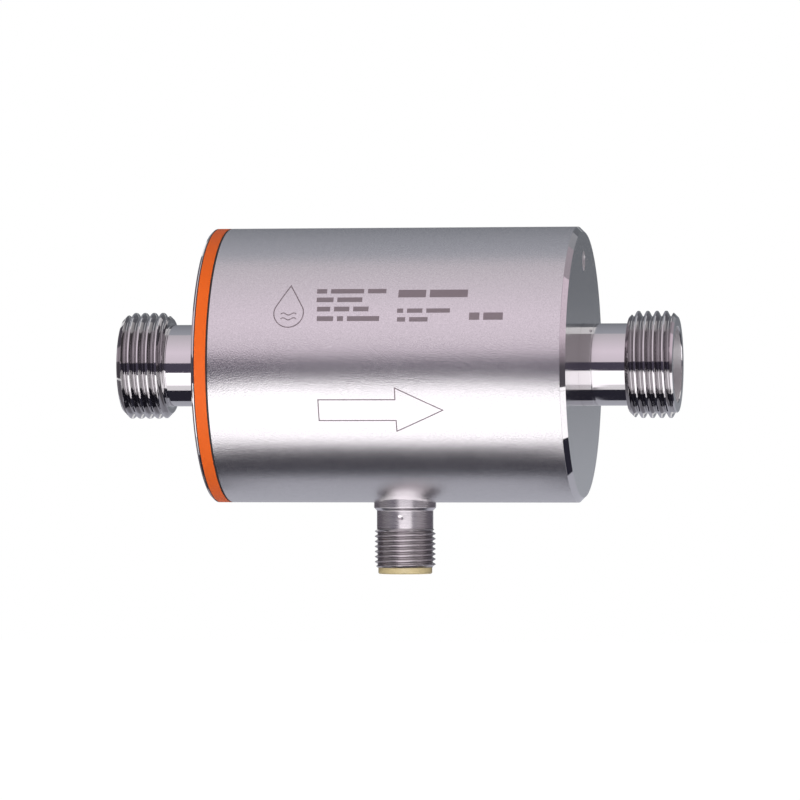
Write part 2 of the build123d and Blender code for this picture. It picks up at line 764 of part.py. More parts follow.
def build_contact_carrier():
    """The block behind the cavity's floor, with a seal groove and the pins' holes."""
    groove_low_z = carrier_seal_z - CARRIER_SEAL_WIDTH / 2
    groove_top_z = carrier_seal_z + CARRIER_SEAL_WIDTH / 2
    block = turned_upright(
        [
            (0, shell_top_z),
            (carrier_r, shell_top_z),
            (carrier_r, groove_top_z),
            (carrier_r - CARRIER_SEAL_DEPTH, groove_top_z),
            (carrier_r - CARRIER_SEAL_DEPTH, groove_low_z),
            (carrier_r, groove_low_z),
            (carrier_r, cavity_floor_z),
            (0, cavity_floor_z),
        ]
    )
    middle_z = (shell_top_z + cavity_floor_z) / 2
    for x, y in pin_places():
        block -= Pos(x, y, middle_z) * Cylinder(pin_r + PIN_FIT, 2 * (shell_top_z - cavity_floor_z))
    return block


def build_carrier_seal():
    """The seal between carrier and shell."""
    section = squeezed_section(
        CARRIER_SEAL_WIDTH - 2 * SEAL_GAP, CARRIER_SEAL_DEPTH + PIN_FIT - 2 * SEAL_GAP
    )
    middle_r = shell_bore_r - (CARRIER_SEAL_DEPTH + PIN_FIT) / 2
    return turned_upright([(middle_r + across, carrier_seal_z + along) for along, across in section])


def build_contact_pins():
    """The round-tipped pins, from the plug's cavity up through the board."""
    length = pin_tail_z - pin_tip_z
    pin = Cylinder(pin_r, length, align=(Align.CENTER, Align.CENTER, Align.MIN))
    pin = chamfer(pin.edges().group_by(Axis.Z)[0], pin_r / 2)
    return [Pos(x, y, pin_tip_z) * pin for x, y in pin_places()]


def build_fill_plug():
    """The round plug in the end wall, with a shallow dish in its outer face."""
    outer_x = face_x - PLUG_RECESS
    plug = turned(
        [
            (wall_x, 0),
            (wall_x, plug_r),
            (outer_x, plug_r),
            (outer_x - PLUG_DISH, 0),
        ]
    )
    return Pos(0, 0, plug_z) * plug


def write_node(name, *solids):
    """Writes one node's solids to parts/NAME.step."""
    shape = solids[0] if len(solids) == 1 else Compound(children=list(solids))
    export_step(shape, f"parts/{name}.step")


def main():
    """Builds every piece and writes it as its own node."""
    os.makedirs("parts", exist_ok=True)
    write_node("housing", build_housing())
    write_node("end_cover", build_end_cover())
    write_node("accent_ring", ring(ring_left_x, ring_right_x, spigot_r + SLIDING_FIT, housing_r))
    gasket_r = housing_r - GASKET_INSET
    write_node("ring_gasket_outer", ring(lip_x, ring_left_x, spigot_r + SLIDING_FIT, gasket_r))
    write_node("ring_gasket_inner", ring(ring_right_x, mouth_x, spigot_r + SLIDING_FIT, gasket_r))
    write_node(
        "cover_seal",
        radial_seal(cover_seal_x, COVER_SEAL_WIDTH, spigot_r - COVER_SEAL_DEPTH, inner_r),
    )
    write_node("cover_lock_ring", build_cover_lock_ring())

    fitting = build_fitting()
    neck_seal = build_neck_seal()
    tube_seal = radial_seal(
        socket_floor_x - SOCKET_DEPTH / 2, TUBE_SEAL_WIDTH, tube_end_r - TUBE_SEAL_DEPTH, socket_r
    )
    write_node("outlet_fitting", fitting)
    write_node("neck_seal_outlet", neck_seal)
    write_node("tube_seal_outlet", tube_seal)
    write_node("inlet_fitting", other_end(fitting))
    write_node("neck_seal_inlet", other_end(neck_seal))
    write_node("tube_seal_inlet", other_end(tube_seal))
    write_node("measuring_tube", build_measuring_tube())

    electrode = build_electrode()
    electrode_seal = build_electrode_seal()
    electrode_nut = build_electrode_nut()
    write_node("electrode_front", electrode)
    write_node("electrode_seal_front", electrode_seal)
    write_node("electrode_nut_front", electrode_nut)
    write_node("electrode_rear", other_side(electrode))
    write_node("electrode_seal_rear", other_side(electrode_seal))
    write_node("electrode_nut_rear", other_side(electrode_nut))

    pole = build_pole()
    bobbin = build_bobbin()
    winding = build_winding()
    yoke_screw = build_yoke_screw()
    write_node("pole_upper", pole)
    write_node("bobbin_upper", bobbin)
    write_node("winding_upper", winding)
    write_node("pole_lower", below(pole))
    write_node("bobbin_lower", below(bobbin))
    write_node("winding_lower", below(winding))
    write_node("magnet_yoke", build_magnet_yoke())
    write_node("yoke_screws", yoke_screw, below(yoke_screw))

    write_node("circuit_board", build_circuit_board())
    write_node("board_spacers", *build_board_spacers())
    write_node("board_screws", *build_board_screws())
    write_node("processor", build_processor())
    write_node("board_chips", *build_board_chips())
    write_node("capacitors", *build_capacitors())
    write_node("electrode_leads", *build_electrode_leads())
    write_node("coil_leads", *build_coil_leads())

    write_node("connector_shell", build_connector_shell())
    write_node("socket_liner", build_socket_liner())
    write_node("contact_carrier", build_contact_carrier())
    write_node("carrier_seal", build_carrier_seal())
    write_node("contact_pins", *build_contact_pins())
    write_node("fill_plug", build_fill_plug())


main()
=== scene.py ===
import logging
import math
from dataclasses import dataclass
from enum import Enum
from typing import Callable, Sequence

import bmesh
import bpy
from mathutils import Matrix, Vector


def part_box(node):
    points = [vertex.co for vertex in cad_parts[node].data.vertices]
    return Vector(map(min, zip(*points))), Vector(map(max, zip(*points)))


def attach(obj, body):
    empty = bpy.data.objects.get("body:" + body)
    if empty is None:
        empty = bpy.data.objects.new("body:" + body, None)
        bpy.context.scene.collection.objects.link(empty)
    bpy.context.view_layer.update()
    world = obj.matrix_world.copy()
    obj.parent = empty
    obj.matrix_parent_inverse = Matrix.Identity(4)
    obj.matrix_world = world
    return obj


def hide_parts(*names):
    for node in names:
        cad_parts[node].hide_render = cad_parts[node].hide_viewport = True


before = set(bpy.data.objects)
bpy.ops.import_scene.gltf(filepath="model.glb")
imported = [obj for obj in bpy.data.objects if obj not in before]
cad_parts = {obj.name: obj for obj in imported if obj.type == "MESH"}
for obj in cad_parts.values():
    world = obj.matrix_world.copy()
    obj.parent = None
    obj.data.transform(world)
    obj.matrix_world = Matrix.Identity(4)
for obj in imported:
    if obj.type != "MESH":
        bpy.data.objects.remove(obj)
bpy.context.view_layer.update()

log = logging.getLogger("flow_sensor")

Triple = tuple[float, float, float]
Colour = Triple
Span = tuple[float, float]
Line = Sequence[tuple[float, float]]
Rows = list[list[Vector]]
Socket = bpy.types.NodeSocket
Finish = bpy.types.Material
Piece = bpy.types.Object
Mesh = bmesh.types.BMesh

# Sizes are in millimetres up to the moment a mesh is made; Blender gets metres.
MM = 0.001
BODY = "root"
AROUND = 144
FACET_ANGLE = math.radians(28)
# Points closer than the gap become one point, and shorter edges are dropped.
MERGE_GAP = 0.0004
SHORT_EDGE = 0.0002
# Pitch of the pipe thread, 14 turns to the inch.
PIPE_PITCH = 1.8143
# A noise socket stays mostly between these two values.
NOISE_LOW = 0.3
NOISE_HIGH = 0.7
# Stains on polished steel: how fine they are, per metre, and the share of light that they leave.
STAIN_SIZE = 260.0
STAIN_SHARE = 0.93


def box_side(node: str, corner: int, axis: int) -> float:
    """Place of one side of a CAD node's box.

    Args:
        node: the node's name.
        corner: 0 for the low side, 1 for the high side.
        axis: 0, 1 or 2 for X, Y or Z.

    Returns:
        The place in millimetres.
    """
    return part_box(node)[corner][axis] / MM


class End(Enum):
    """The two pipe ends, by their side of the middle."""

    INLET = -1
    OUTLET = 1


class Slot(Enum):
    """Names of two material slots of the record; no piece in this script takes its finish from them."""

    BLASTED = "blasted_steel"
    POLISHED = "polished_steel"


class Lathe(Enum):
    """The axis that a piece was turned about, as the stretch that draws its rings."""

    ALONG_PIPE = (26000.0, 60.0, 60.0)
    FRONT_TO_BACK = (60.0, 26000.0, 60.0)
    UPRIGHT = (60.0, 60.0, 26000.0)


class Sheet:
    """The nodes of a material or of the world, with short calls for what the finishes share."""

    def __init__(self, owner: Finish | bpy.types.World) -> None:
        """Starts with no nodes.

        Args:
            owner: the new material or world.
        """
        self.owner = owner
        self.owner.use_nodes = True
        self.tree = self.owner.node_tree
        self.tree.nodes.clear()

    def add(self, kind: str, **settings: object) -> bpy.types.Node:
        """Adds a node.

        Args:
            kind: the node's type name.
            settings: attributes to set on it.

        Returns:
            The new node.
        """
        node = self.tree.nodes.new(kind)
        for key, value in settings.items():
            setattr(node, key, value)
        return node

    def join(self, source: Socket, target: Socket) -> None:
        """Links one socket to another."""
        self.tree.links.new(source, target)

    def show(self, shader: Socket, output: str = "ShaderNodeOutputMaterial") -> None:
        """Links a shader to a new output node."""
        self.join(shader, self.add(output).inputs["Surface"])

    def place(self, scale: Triple = (1.0, 1.0, 1.0)) -> Socket:
        """The object's own coordinates in metres, stretched by a scale.

        Args:
            scale: factor along each axis.

        Returns:
            The vector socket.
        """
        coordinates = self.add("ShaderNodeTexCoord")
        mapping = self.add("ShaderNodeMapping")
        mapping.inputs["Scale"].default_value = scale
        self.join(coordinates.outputs["Object"], mapping.inputs["Vector"])
        return mapping.outputs["Vector"]

    def axes(self) -> tuple[Socket, Socket, Socket]:
        """The object's own coordinates in metres, one by one.

        Returns:
            The X, Y and Z sockets.
        """
        split = self.add("ShaderNodeSeparateXYZ")
        self.join(self.place(), split.inputs[0])
        return split.outputs["X"], split.outputs["Y"], split.outputs["Z"]

    def noise(self, vector: Socket, scale: float, detail: float = 2.0, rough: float = 0.5) -> Socket:
        """A noise value from 0 to 1.

        Args:
            vector: where to read the noise.
            scale: how fine it is, per metre.
            detail: how many finer layers it has.
            rough: how strong the finer layers are.

        Returns:
            The value socket.
        """
        node = self.add("ShaderNodeTexNoise")
        self.join(vector, node.inputs["Vector"])
        node.inputs["Scale"].default_value = scale
        node.inputs["Detail"].default_value = detail
        node.inputs["Roughness"].default_value = rough
        return node.outputs["Fac"]

    def spread(self, value: Socket, start: float, end: float, low: float, high: float) -> Socket:
        """Maps a value from one range to another, clamped.

        Args:
            value: the socket to map.
            start: value that becomes low.
            end: value that becomes high.
            low: result at start.
            high: result at end.

        Returns:
            The mapped value socket.
        """
        node = self.add("ShaderNodeMapRange")
        self.join(value, node.inputs["Value"])
        for name, number in (("From Min", start), ("From Max", end), ("To Min", low), ("To Max", high)):
            node.inputs[name].default_value = number
        return node.outputs["Result"]

    def sway(self, noise: Socket, low: float, high: float) -> Socket:
        """Maps a noise's usual range to another range."""
        return self.spread(noise, NOISE_LOW, NOISE_HIGH, low, high)

    def reckon(self, operation: str, first: Socket, second: Socket | float = 0.0) -> Socket:
        """A Math node's result.

        Args:
            operation: the node's operation.
            first: first value.
            second: second value, a socket or a number.

        Returns:
            The result socket.
        """
        node = self.add("ShaderNodeMath", operation=operation)
        self.join(first, node.inputs[0])
        if isinstance(second, Socket):
            self.join(second, node.inputs[1])
        else:
            node.inputs[1].default_value = second
        return node.outputs[0]

    def across(self, first: Socket, second: Socket) -> Socket:
        """Distance from an axis, by the two coordinates that cross it."""
        total = self.reckon("ADD", self.reckon("POWER", first, 2.0), self.reckon("POWER", second, 2.0))
        return self.reckon("SQRT", total)

    def tint(self, value: Socket, first: Colour | Socket, second: Colour) -> Socket:
        """Two colours mixed by a value.

        Args:
            value: 0 for the first colour, 1 for the second.
            first: linear red, green and blue, or a colour socket.
            second: linear red, green and blue.

        Returns:
            The colour socket.
        """
        node = self.add("ShaderNodeMix", data_type="RGBA")
        self.join(value, node.inputs["Factor"])
        if isinstance(first, Socket):
            self.join(first, node.inputs["A"])
        else:
            node.inputs["A"].default_value = (*first, 1.0)
        node.inputs["B"].default_value = (*second, 1.0)
        return node.outputs["Result"]

    def patchy(self, colour: Colour, size: float, share: float) -> Socket:
        """A colour with soft darker patches.

        Args:
            colour: linear red, green and blue.
            size: how fine the patches are, per metre.
            share: the share of the colour that the darkest patch keeps.

        Returns:
            The colour socket.
        """
        darker = tuple(part * share for part in colour)
        return self.tint(self.noise(self.place(), size), darker, colour)

    def bump(self, height: Socket, depth: float) -> Socket:
        """A normal pushed by a height.

        Args:
            height: value from 0 to 1.
            depth: height of 1, in metres.

        Returns:
            The normal socket.
        """
        node = self.add("ShaderNodeBump")
        node.inputs["Strength"].default_value = 1.0
        node.inputs["Distance"].default_value = depth
        self.join(height, node.inputs["Height"])
        return node.outputs["Normal"]

    def looked_at(self) -> Socket:
        """1 for what the camera, a mirror or glass shows, and 0 for what only gives light.

        Returns:
            The value socket.
        """
        path = self.add("ShaderNodeLightPath")
        seen = self.reckon("MAXIMUM", path.outputs["Is Camera Ray"], path.outputs["Is Glossy Ray"])
        return self.reckon("MAXIMUM", seen, path.outputs["Is Transmission Ray"])

    def surface(self, **inputs: object) -> Finish:
        """Finishes the material with one principled surface.

        Args:
            inputs: values or sockets by the shader's input names, with _ for a space.

        Returns:
            The material.
        """
        shader = self.add("ShaderNodeBsdfPrincipled")
        for key, value in inputs.items():
            socket = shader.inputs[key.replace("_", " ")]
            if isinstance(value, Socket):
                self.join(value, socket)
            else:
                socket.default_value = value
        self.show(shader.outputs["BSDF"])
        return self.owner


def new_sheet(name: str) -> Sheet:
    """Starts the nodes of a new material."""
    return Sheet(bpy.data.materials.new(name))


@dataclass(frozen=True)
class BlastedSteel:
    """Bead-blasted stainless steel, with the turned bevel bright and the end wall finely ground."""

    colour: Colour = (0.755, 0.74, 0.75)
    dull: Colour = (0.655, 0.64, 0.65)
    grain: float = 3900.0
    grain_depth: float = 0.000024
    grain_detail: float = 1.5
    grain_strength: float = 0.6
    patch_size: float = 140.0
    patch_change: float = 0.008
    bevel: float = 1.0
    edge: float = 0.04
    skin_rough: float = 0.264
    bevel_rough: float = 0.035
    wall_rough: float = 0.145

    def material(self) -> Finish:
        """Makes the blasted finish.

        Returns:
            The material.
        """
        sheet = new_sheet("blasted steel")
        face = box_side("housing", 1, 0) * MM
        bevel_start = face - self.bevel * MM
        edge = self.edge * MM
        x, _, _ = sheet.axes()
        blasted = sheet.spread(x, bevel_start, bevel_start + edge, 1.0, 0.0)
        ground = sheet.spread(x, face - edge, face - edge / 2, 0.0, self.wall_rough - self.bevel_rough)
        fine = sheet.noise(sheet.place(), self.grain, self.grain_detail, self.grain_strength)
        patches = sheet.noise(sheet.place(), self.patch_size, 3.0)
        uneven = sheet.sway(
            patches, self.bevel_rough - self.patch_change, self.bevel_rough + self.patch_change
        )
        skin = sheet.reckon("MULTIPLY", blasted, self.skin_rough - self.bevel_rough)
        return sheet.surface(
            Base_Color=sheet.tint(sheet.sway(fine, 0.0, 1.0), self.dull, self.colour),
            Metallic=1.0,
            Roughness=sheet.reckon("ADD", sheet.reckon("ADD", skin, ground), uneven),
            Normal=sheet.bump(sheet.reckon("MULTIPLY", fine, blasted), self.grain_depth),
        )


@dataclass(frozen=True)
class TurningRings:
    """The fine rings that turning leaves: the range of their gloss and their depth in metres."""

    lathe: Lathe
    low: float = 0.055
    high: float = 0.085
    depth: float = 0.0000006

    def draw(self, sheet: Sheet) -> tuple[Socket, Socket]:
        """Draws the rings.

        Args:
            sheet: the nodes to add to.

        Returns:
            The roughness socket and the normal socket.
        """
        rings = sheet.noise(sheet.place(self.lathe.value), 1.0, 3.0, 0.6)
        return sheet.sway(rings, self.low, self.high), sheet.bump(rings, self.depth)


@dataclass(frozen=True)
class GroovePaintedShade:
    """Painted shade down in a thread's grooves: a darker colour by distance from the thread's axis."""

    colour: Colour
    land: float
    floor: float
    crest: float

    def lay(self, sheet: Sheet, base: Socket, radius: Socket, threaded: Socket) -> Socket:
        """Lays the painted shade over a colour.

        Args:
            sheet: the nodes to add to.
            base: the colour outside the grooves.
            radius: distance from the axis, in metres.
            threaded: 1 along the thread, 0 elsewhere.

        Returns:
            The colour socket.
        """
        outside = sheet.reckon("GREATER_THAN", radius, self.land * MM)
        # Painted shade: darkest at the groove floor, none at the crest.
        depth = sheet.spread(radius, self.floor * MM, self.crest * MM, 1.0, 0.0)
        share = sheet.reckon("MULTIPLY", depth, sheet.reckon("MULTIPLY", threaded, outside))
        return sheet.tint(share, base, self.colour)


@dataclass(frozen=True)
class TurnedSteel:
    """Polished stainless steel, turned about one axis."""

    name: str
    rings: TurningRings
    colour: Colour = (0.75, 0.735, 0.745)

    def material(self) -> Finish:
        """Makes the turned finish.

        Returns:
            The material.
        """
        sheet = new_sheet(self.name)
        rough, normal = self.rings.draw(sheet)
        stained = sheet.patchy(self.colour, STAIN_SIZE, STAIN_SHARE)
        return sheet.surface(Base_Color=stained, Metallic=1.0, Roughness=rough, Normal=normal)


@dataclass(frozen=True)
class PipeSteel:
    """Turned steel of the pipe ends: painted shade on the outlet neck by the housing face and in the thread
    grooves, dull in the mouth.
    """

    colour: Colour = (0.665, 0.65, 0.66)
    # Painted shade on the outlet neck: darkest at the housing face, fading to the full colour further out.
    painted_face_shade: Colour = (0.62, 0.60, 0.61)
    face_shade_start: float = 36.4
    face_shade_end: float = 41.4
    mouth: float = 7.35
    mouth_rough: float = 0.55
    thread_start: float = 44.0
    thread_end: float = 54.6
    # Painted shade down in the pipe thread's grooves.
    painted_groove_shade: GroovePaintedShade = GroovePaintedShade((0.45, 0.435, 0.445), land=8.5, floor=9.95, crest=10.4)
    rings: TurningRings = TurningRings(Lathe.ALONG_PIPE)

    def material(self) -> Finish:
        """Makes the pipe ends' finish.

        Returns:
            The material.
        """
        sheet = new_sheet("pipe steel")
        x, y, z = sheet.axes()
        radius = sheet.across(y, z)
        from_middle = sheet.reckon("ABSOLUTE", x)
        # Painted shade, darkest at the housing face; the inlet side, at negative x, keeps the full colour.
        unshaded = sheet.spread(x, self.face_shade_start * MM, self.face_shade_end * MM, 0.0, 1.0)
        unshaded = sheet.reckon("MAXIMUM", unshaded, sheet.reckon("LESS_THAN", x, 0.0))
        base = sheet.tint(unshaded, self.painted_face_shade, self.colour)
        outer = sheet.reckon("GREATER_THAN", from_middle, self.thread_start * MM)
        threaded = sheet.reckon("LESS_THAN", from_middle, self.thread_end * MM)
        threaded = sheet.reckon("MULTIPLY", threaded, outer)
        bored = sheet.reckon("LESS_THAN", radius, self.mouth * MM)
        dull = sheet.reckon("MULTIPLY", sheet.reckon("MULTIPLY", bored, outer), self.mouth_rough)
        rough, normal = self.rings.draw(sheet)
        return sheet.surface(
            Base_Color=self.painted_groove_shade.lay(sheet, base, radius, threaded),
            Metallic=1.0,
            Roughness=sheet.reckon("ADD", rough, dull),
            Normal=normal,
        )


@dataclass(frozen=True)
class PlugSteel:
    """Turned steel of the plug socket, with painted shade down in its thread grooves."""

    colour: Colour = (0.78, 0.745, 0.765)
    middle: float = 1.0
    thread_top: float = -32.0
    # Painted shade down in the plug thread's grooves.
    painted_groove_shade: GroovePaintedShade = GroovePaintedShade((0.40, 0.375, 0.385), land=5.2, floor=5.5, crest=5.9)
    rings: TurningRings = TurningRings(Lathe.UPRIGHT, low=0.235, high=0.295, depth=0.0000007)

    def material(self) -> Finish:
        """Makes the plug socket's finish.

        Returns:
            The material.
        """
        sheet = new_sheet("socket steel")
        x, y, z = sheet.axes()
        radius = sheet.across(sheet.reckon("SUBTRACT", x, self.middle * MM), y)
        threaded = sheet.reckon("LESS_THAN", z, self.thread_top * MM)
        stained = sheet.patchy(self.colour, STAIN_SIZE, STAIN_SHARE)
        rough, normal = self.rings.draw(sheet)
        return sheet.surface(
            Base_Color=self.painted_groove_shade.lay(sheet, stained, radius, threaded),
            Metallic=1.0,
            Roughness=rough,
            Normal=normal,
        )


@dataclass(frozen=True)
class DullMetal:
    """A machined or drawn metal with a soft uneven gloss."""

    name: str
    colour: Colour
    rough: float
    rough_change: float = 0.15
    grain: float = 1800.0
    depth: float = 0.000008
    patch_size: float = 300.0
    patch_share: float = 0.8

    def material(self) -> Finish:
        """Makes the metal finish.

        Returns:
            The material.
        """
        sheet = new_sheet(self.name)
        fine = sheet.noise(sheet.place(), self.grain)
        low = self.rough * (1 - self.rough_change)
        high = self.rough * (1 + self.rough_change)
        return sheet.surface(
            Base_Color=sheet.patchy(self.colour, self.patch_size, self.patch_share),
            Metallic=1.0,
            Roughness=sheet.sway(fine, low, high),
            Normal=sheet.bump(fine, self.depth),
        )


@dataclass(frozen=True)
class Plastic:
    """A moulded or machined plastic, or rubber, with a fine skin."""

    name: str
    colour: Colour
    rough: float
    rough_change: float = 0.04
    skin: float = 1500.0
    depth: float = 0.000006
    cloud_size: float = 120.0
    shade: float = 0.88
    gloss: float = 0.5

    def material(self) -> Finish:
        """Makes the plastic finish.

        Returns:
            The material.
        """
        sheet = new_sheet(self.name)
        fine = sheet.noise(sheet.place(), self.skin)
        return sheet.surface(
            Base_Color=sheet.patchy(self.colour, self.cloud_size, self.shade),
            Roughness=sheet.sway(fine, self.rough - self.rough_change, self.rough + self.rough_change),
            Specular_IOR_Level=self.gloss,
            Normal=sheet.bump(fine, self.depth),
        )


@dataclass(frozen=True)
class WoundCopper:
    """Enamelled copper wire laid turn beside turn round the pole's axis, with painted shade in the creases
    between turns.
    """

    wire: float = 0.35
    copper: Colour = (0.72, 0.30, 0.13)
    # Painted shade in the creases between the wire turns.
    painted_crease_shade: Colour = (0.22, 0.07, 0.03)
    metal: float = 0.9
    gap_rough: float = 0.5
    wire_rough: float = 0.28

    def material(self) -> Finish:
        """Makes the winding's finish.

        Returns:
            The material.
        """
        sheet = new_sheet("wound copper")
        wave = sheet.add("ShaderNodeTexWave", wave_type="BANDS", bands_direction="Z")
        sheet.join(sheet.place(), wave.inputs["Vector"])
        # At a scale of 1 the bands repeat every pi / 10.
        wave.inputs["Scale"].default_value = math.pi / (10 * self.wire * MM)
        turns = wave.outputs["Fac"]
        return sheet.surface(
            Base_Color=sheet.tint(turns, self.painted_crease_shade, self.copper),
            Metallic=self.metal,
            Roughness=sheet.spread(turns, 0.0, 1.0, self.gap_rough, self.wire_rough),
            Normal=sheet.bump(turns, self.wire * MM / 4),
        )


@dataclass(frozen=True)
class PrintedBoard:
    """Green solder resist over copper tracks."""

    resist: Colour = (0.02, 0.16, 0.06)
    track: Colour = (0.05, 0.27, 0.10)
    track_size: float = 320.0
    track_width: float = 0.05
    track_depth: float = 0.00002
    resist_rough: float = 0.32
    track_rough: float = 0.26
    varnish: float = 0.4

    def material(self) -> Finish:
        """Makes the board's finish.

        Returns:
            The material.
        """
        sheet = new_sheet("printed board")
        brick = sheet.add("ShaderNodeTexBrick", offset=0.5)
        sheet.join(sheet.place(), brick.inputs["Vector"])
        brick.inputs["Scale"].default_value = self.track_size
        brick.inputs["Mortar Size"].default_value = self.track_width
        tracks = brick.outputs["Fac"]
        return sheet.surface(
            Base_Color=sheet.tint(tracks, self.resist, self.track),
            Roughness=sheet.spread(tracks, 0.0, 1.0, self.resist_rough, self.track_rough),
            Normal=sheet.bump(tracks, self.track_depth),
            Coat_Weight=self.varnish,
        )


@dataclass(frozen=True)
class LaserMark:
    """Grey oxide left by a marking laser on steel."""

    colour: Colour = (0.155, 0.125, 0.14)
    lightening: float = 1.45
    metal: float = 0.35
    grain: float = 5200.0
    grain_strength: float = 0.6
    depth: float = 0.000004
    low: float = 0.5
    high: float = 0.62

    def material(self) -> Finish:
        """Makes the mark's finish.

        Returns:
            The material.
        """
        sheet = new_sheet("laser mark")
        burn = sheet.noise(sheet.place(), self.grain, 2.0, self.grain_strength)
        lighter = tuple(part * self.lightening for part in self.colour)
        return sheet.surface(
            Base_Color=sheet.tint(burn, self.colour, lighter),
            Metallic=self.metal,
            Roughness=sheet.sway(burn, self.low, self.high),
            Normal=sheet.bump(burn, self.depth),
        )


def closed_object(name: str, mesh: Mesh, finish: Finish) -> Piece:
    """Turns a mesh in millimetres into an object in metres with clean corners.

    Args:
        name: the piece's name.
        mesh: its faces, in millimetres.
        finish: its material.

    Returns:
        The new object, linked to the scene.
    """
    bmesh.ops.remove_doubles(mesh, verts=mesh.verts, dist=MERGE_GAP)
    bmesh.ops.dissolve_degenerate(mesh, edges=mesh.edges, dist=SHORT_EDGE)
    bmesh.ops.recalc_face_normals(mesh, faces=mesh.faces)
    bmesh.ops.scale(mesh, vec=(MM, MM, MM), verts=mesh.verts)
    for face in mesh.faces:
        face.smooth = True
    data = bpy.data.meshes.new(name)
    mesh.to_mesh(data)
    mesh.free()
    data.set_sharp_from_angle(angle=FACET_ANGLE)
    data.materials.append(finish)
    piece = bpy.data.objects.new(name, data)
    bpy.context.scene.collection.objects.link(piece)
    return piece


def add_rows(mesh: Mesh, rows: Rows, closed: bool = False) -> list[list[bmesh.types.BMVert]]:
    """Adds faces between rows of points.

    Args:
        mesh: the mesh to add to.
        rows: the rows of points in order, all of one length.
        closed: whether each row runs on to its first point.

    Returns:
        The rows' new vertices.
    """
    made = [[mesh.verts.new(point) for point in row] for row in rows]
    count = len(rows[0]) if closed else len(rows[0]) - 1
    for first, second in zip(made, made[1:]):
        for index in range(count):
            after = (index + 1) % len(first)
            mesh.faces.new((first[index], first[after], second[after], second[index]))
    return made


def spoke_angle(spoke: int) -> float:
    """Angle of one of the points round a turned shape."""
    return 2 * math.pi * spoke / AROUND


def turned_point(place: float, radius: float, angle: float) -> Vector:
    """A point at a place along the local X axis, at a radius and an angle about it."""
    return Vector((place, radius * math.cos(angle), radius * math.sin(angle)))


def turn_profile(points: Line) -> Rows:
    """One ring about the local X axis for each (place, radius) point of a profile."""
    angles = [spoke_angle(spoke) for spoke in range(AROUND)]
    return [[turned_point(place, radius, angle) for angle in angles] for place, radius in points]


def eased(points: Line, radius: float, hold: float = 1.4) -> Line:
    """Breaks the corners of an open profile with small arcs.

    Args:
        points: the profile's (place, radius) points.
        radius: how far from each corner its arc starts.
        hold: how much further out a ring on either side keeps the wall's shading flat.

    Returns:
        The profile with five points for each inner corner.
    """
    soft = [points[0]]
    for before, here, after in zip(points, points[1:], points[2:]):
        corner = Vector(here)
        back = Vector(before) - corner
        ahead = Vector(after) - corner
        cut = min(radius, back.length / 3, ahead.length / 3)
        start = corner + back.normalized() * cut
        end = corner + ahead.normalized() * cut
        middle = (start + end) / 4 + corner / 2
        flat_before = corner + back.normalized() * cut * hold
        flat_after = corner + ahead.normalized() * cut * hold
        soft += [tuple(point) for point in (flat_before, start, middle, end, flat_after)]
    soft.append(points[-1])
    return soft


@dataclass(frozen=True)
class Thread:
    """An external screw thread by its standard form, cut on a shape turned about a local +X axis."""

    crest_radius: float
    pitch: float
    depth: float
    half_angle: float
    crest_flat: float
    crest_round: float
    root_round: float
    crest_place: float
    samples: int = 20

    def rise(self, along: float) -> float:
        """Height of the form above its root at a distance from a crest's middle.

        Args:
            along: distance along the axis, at most half a pitch.

        Returns:
            The height in millimetres.
        """
        flank = math.radians(self.half_angle)
        crest_reach = self.crest_flat + self.crest_round * math.cos(flank)
        if along <= self.crest_flat:
            return self.depth
        if along <= crest_reach:
            inset = along - self.crest_flat
            return self.depth - self.crest_round + math.sqrt(self.crest_round**2 - inset**2)
        from_root = self.pitch / 2 - along
        if from_root <= self.root_round * math.cos(flank):
            return self.root_round - math.sqrt(max(self.root_round**2 - from_root**2, 0.0))
        flank_top = self.depth - self.crest_round * (1 - math.sin(flank))
        return flank_top - (along - crest_reach) / math.tan(flank)

    def radius(self, place: float, angle: float) -> float:
        """Radius of the thread at a place and an angle.

        Args:
            place: distance along the axis.
            angle: right-hand angle about the axis, in radians.

        Returns:
            The radius in millimetres.
        """
        phase = (place - self.crest_place) / self.pitch - angle / (2 * math.pi)
        along = abs(phase - round(phase)) * self.pitch
        return self.crest_radius - self.depth + self.rise(along)

    def rings(self, start: float, end: float, cut: Callable[[float], float]) -> Rows:
        """Rings that follow the thread's own slope, squeezed flat at both ends.

        Args:
            start: place where the thread starts.
            end: place where it ends.
            cut: the largest radius allowed at a place, from the end chamfers.

        Returns:
            The rings about the local axis, each one point longer than a turn.
        """
        step = self.pitch / self.samples
        count = math.ceil((end - start) / step)
        rows = []
        for row in range(-self.samples, count + self.samples + 1):
            ring = []
            for spoke in range(AROUND + 1):
                place = start + row * step + self.pitch * spoke / AROUND
                place = min(max(place, start), end)
                size = min(self.radius(place, spoke_angle(spoke)), cut(place))
                ring.append(turned_point(place, size, spoke_angle(spoke)))
            rows.append(ring)
        return rows

    def lip(self, place: float, cut: Callable[[float], float], root: float) -> Rows:
        """The flat strip at an end of the thread, from its outline in to a circle.

        Args:
            place: where the end is.
            cut: the largest radius allowed at a place.
            root: the circle's radius.

        Returns:
            The outline's row and the circle's row.
        """
        angles = [spoke_angle(spoke) for spoke in range(AROUND + 1)]
        outline = [turned_point(place, min(self.radius(place, angle), cut(place)), angle) for angle in angles]
        return [outline, [turned_point(place, root, angle) for angle in angles]]


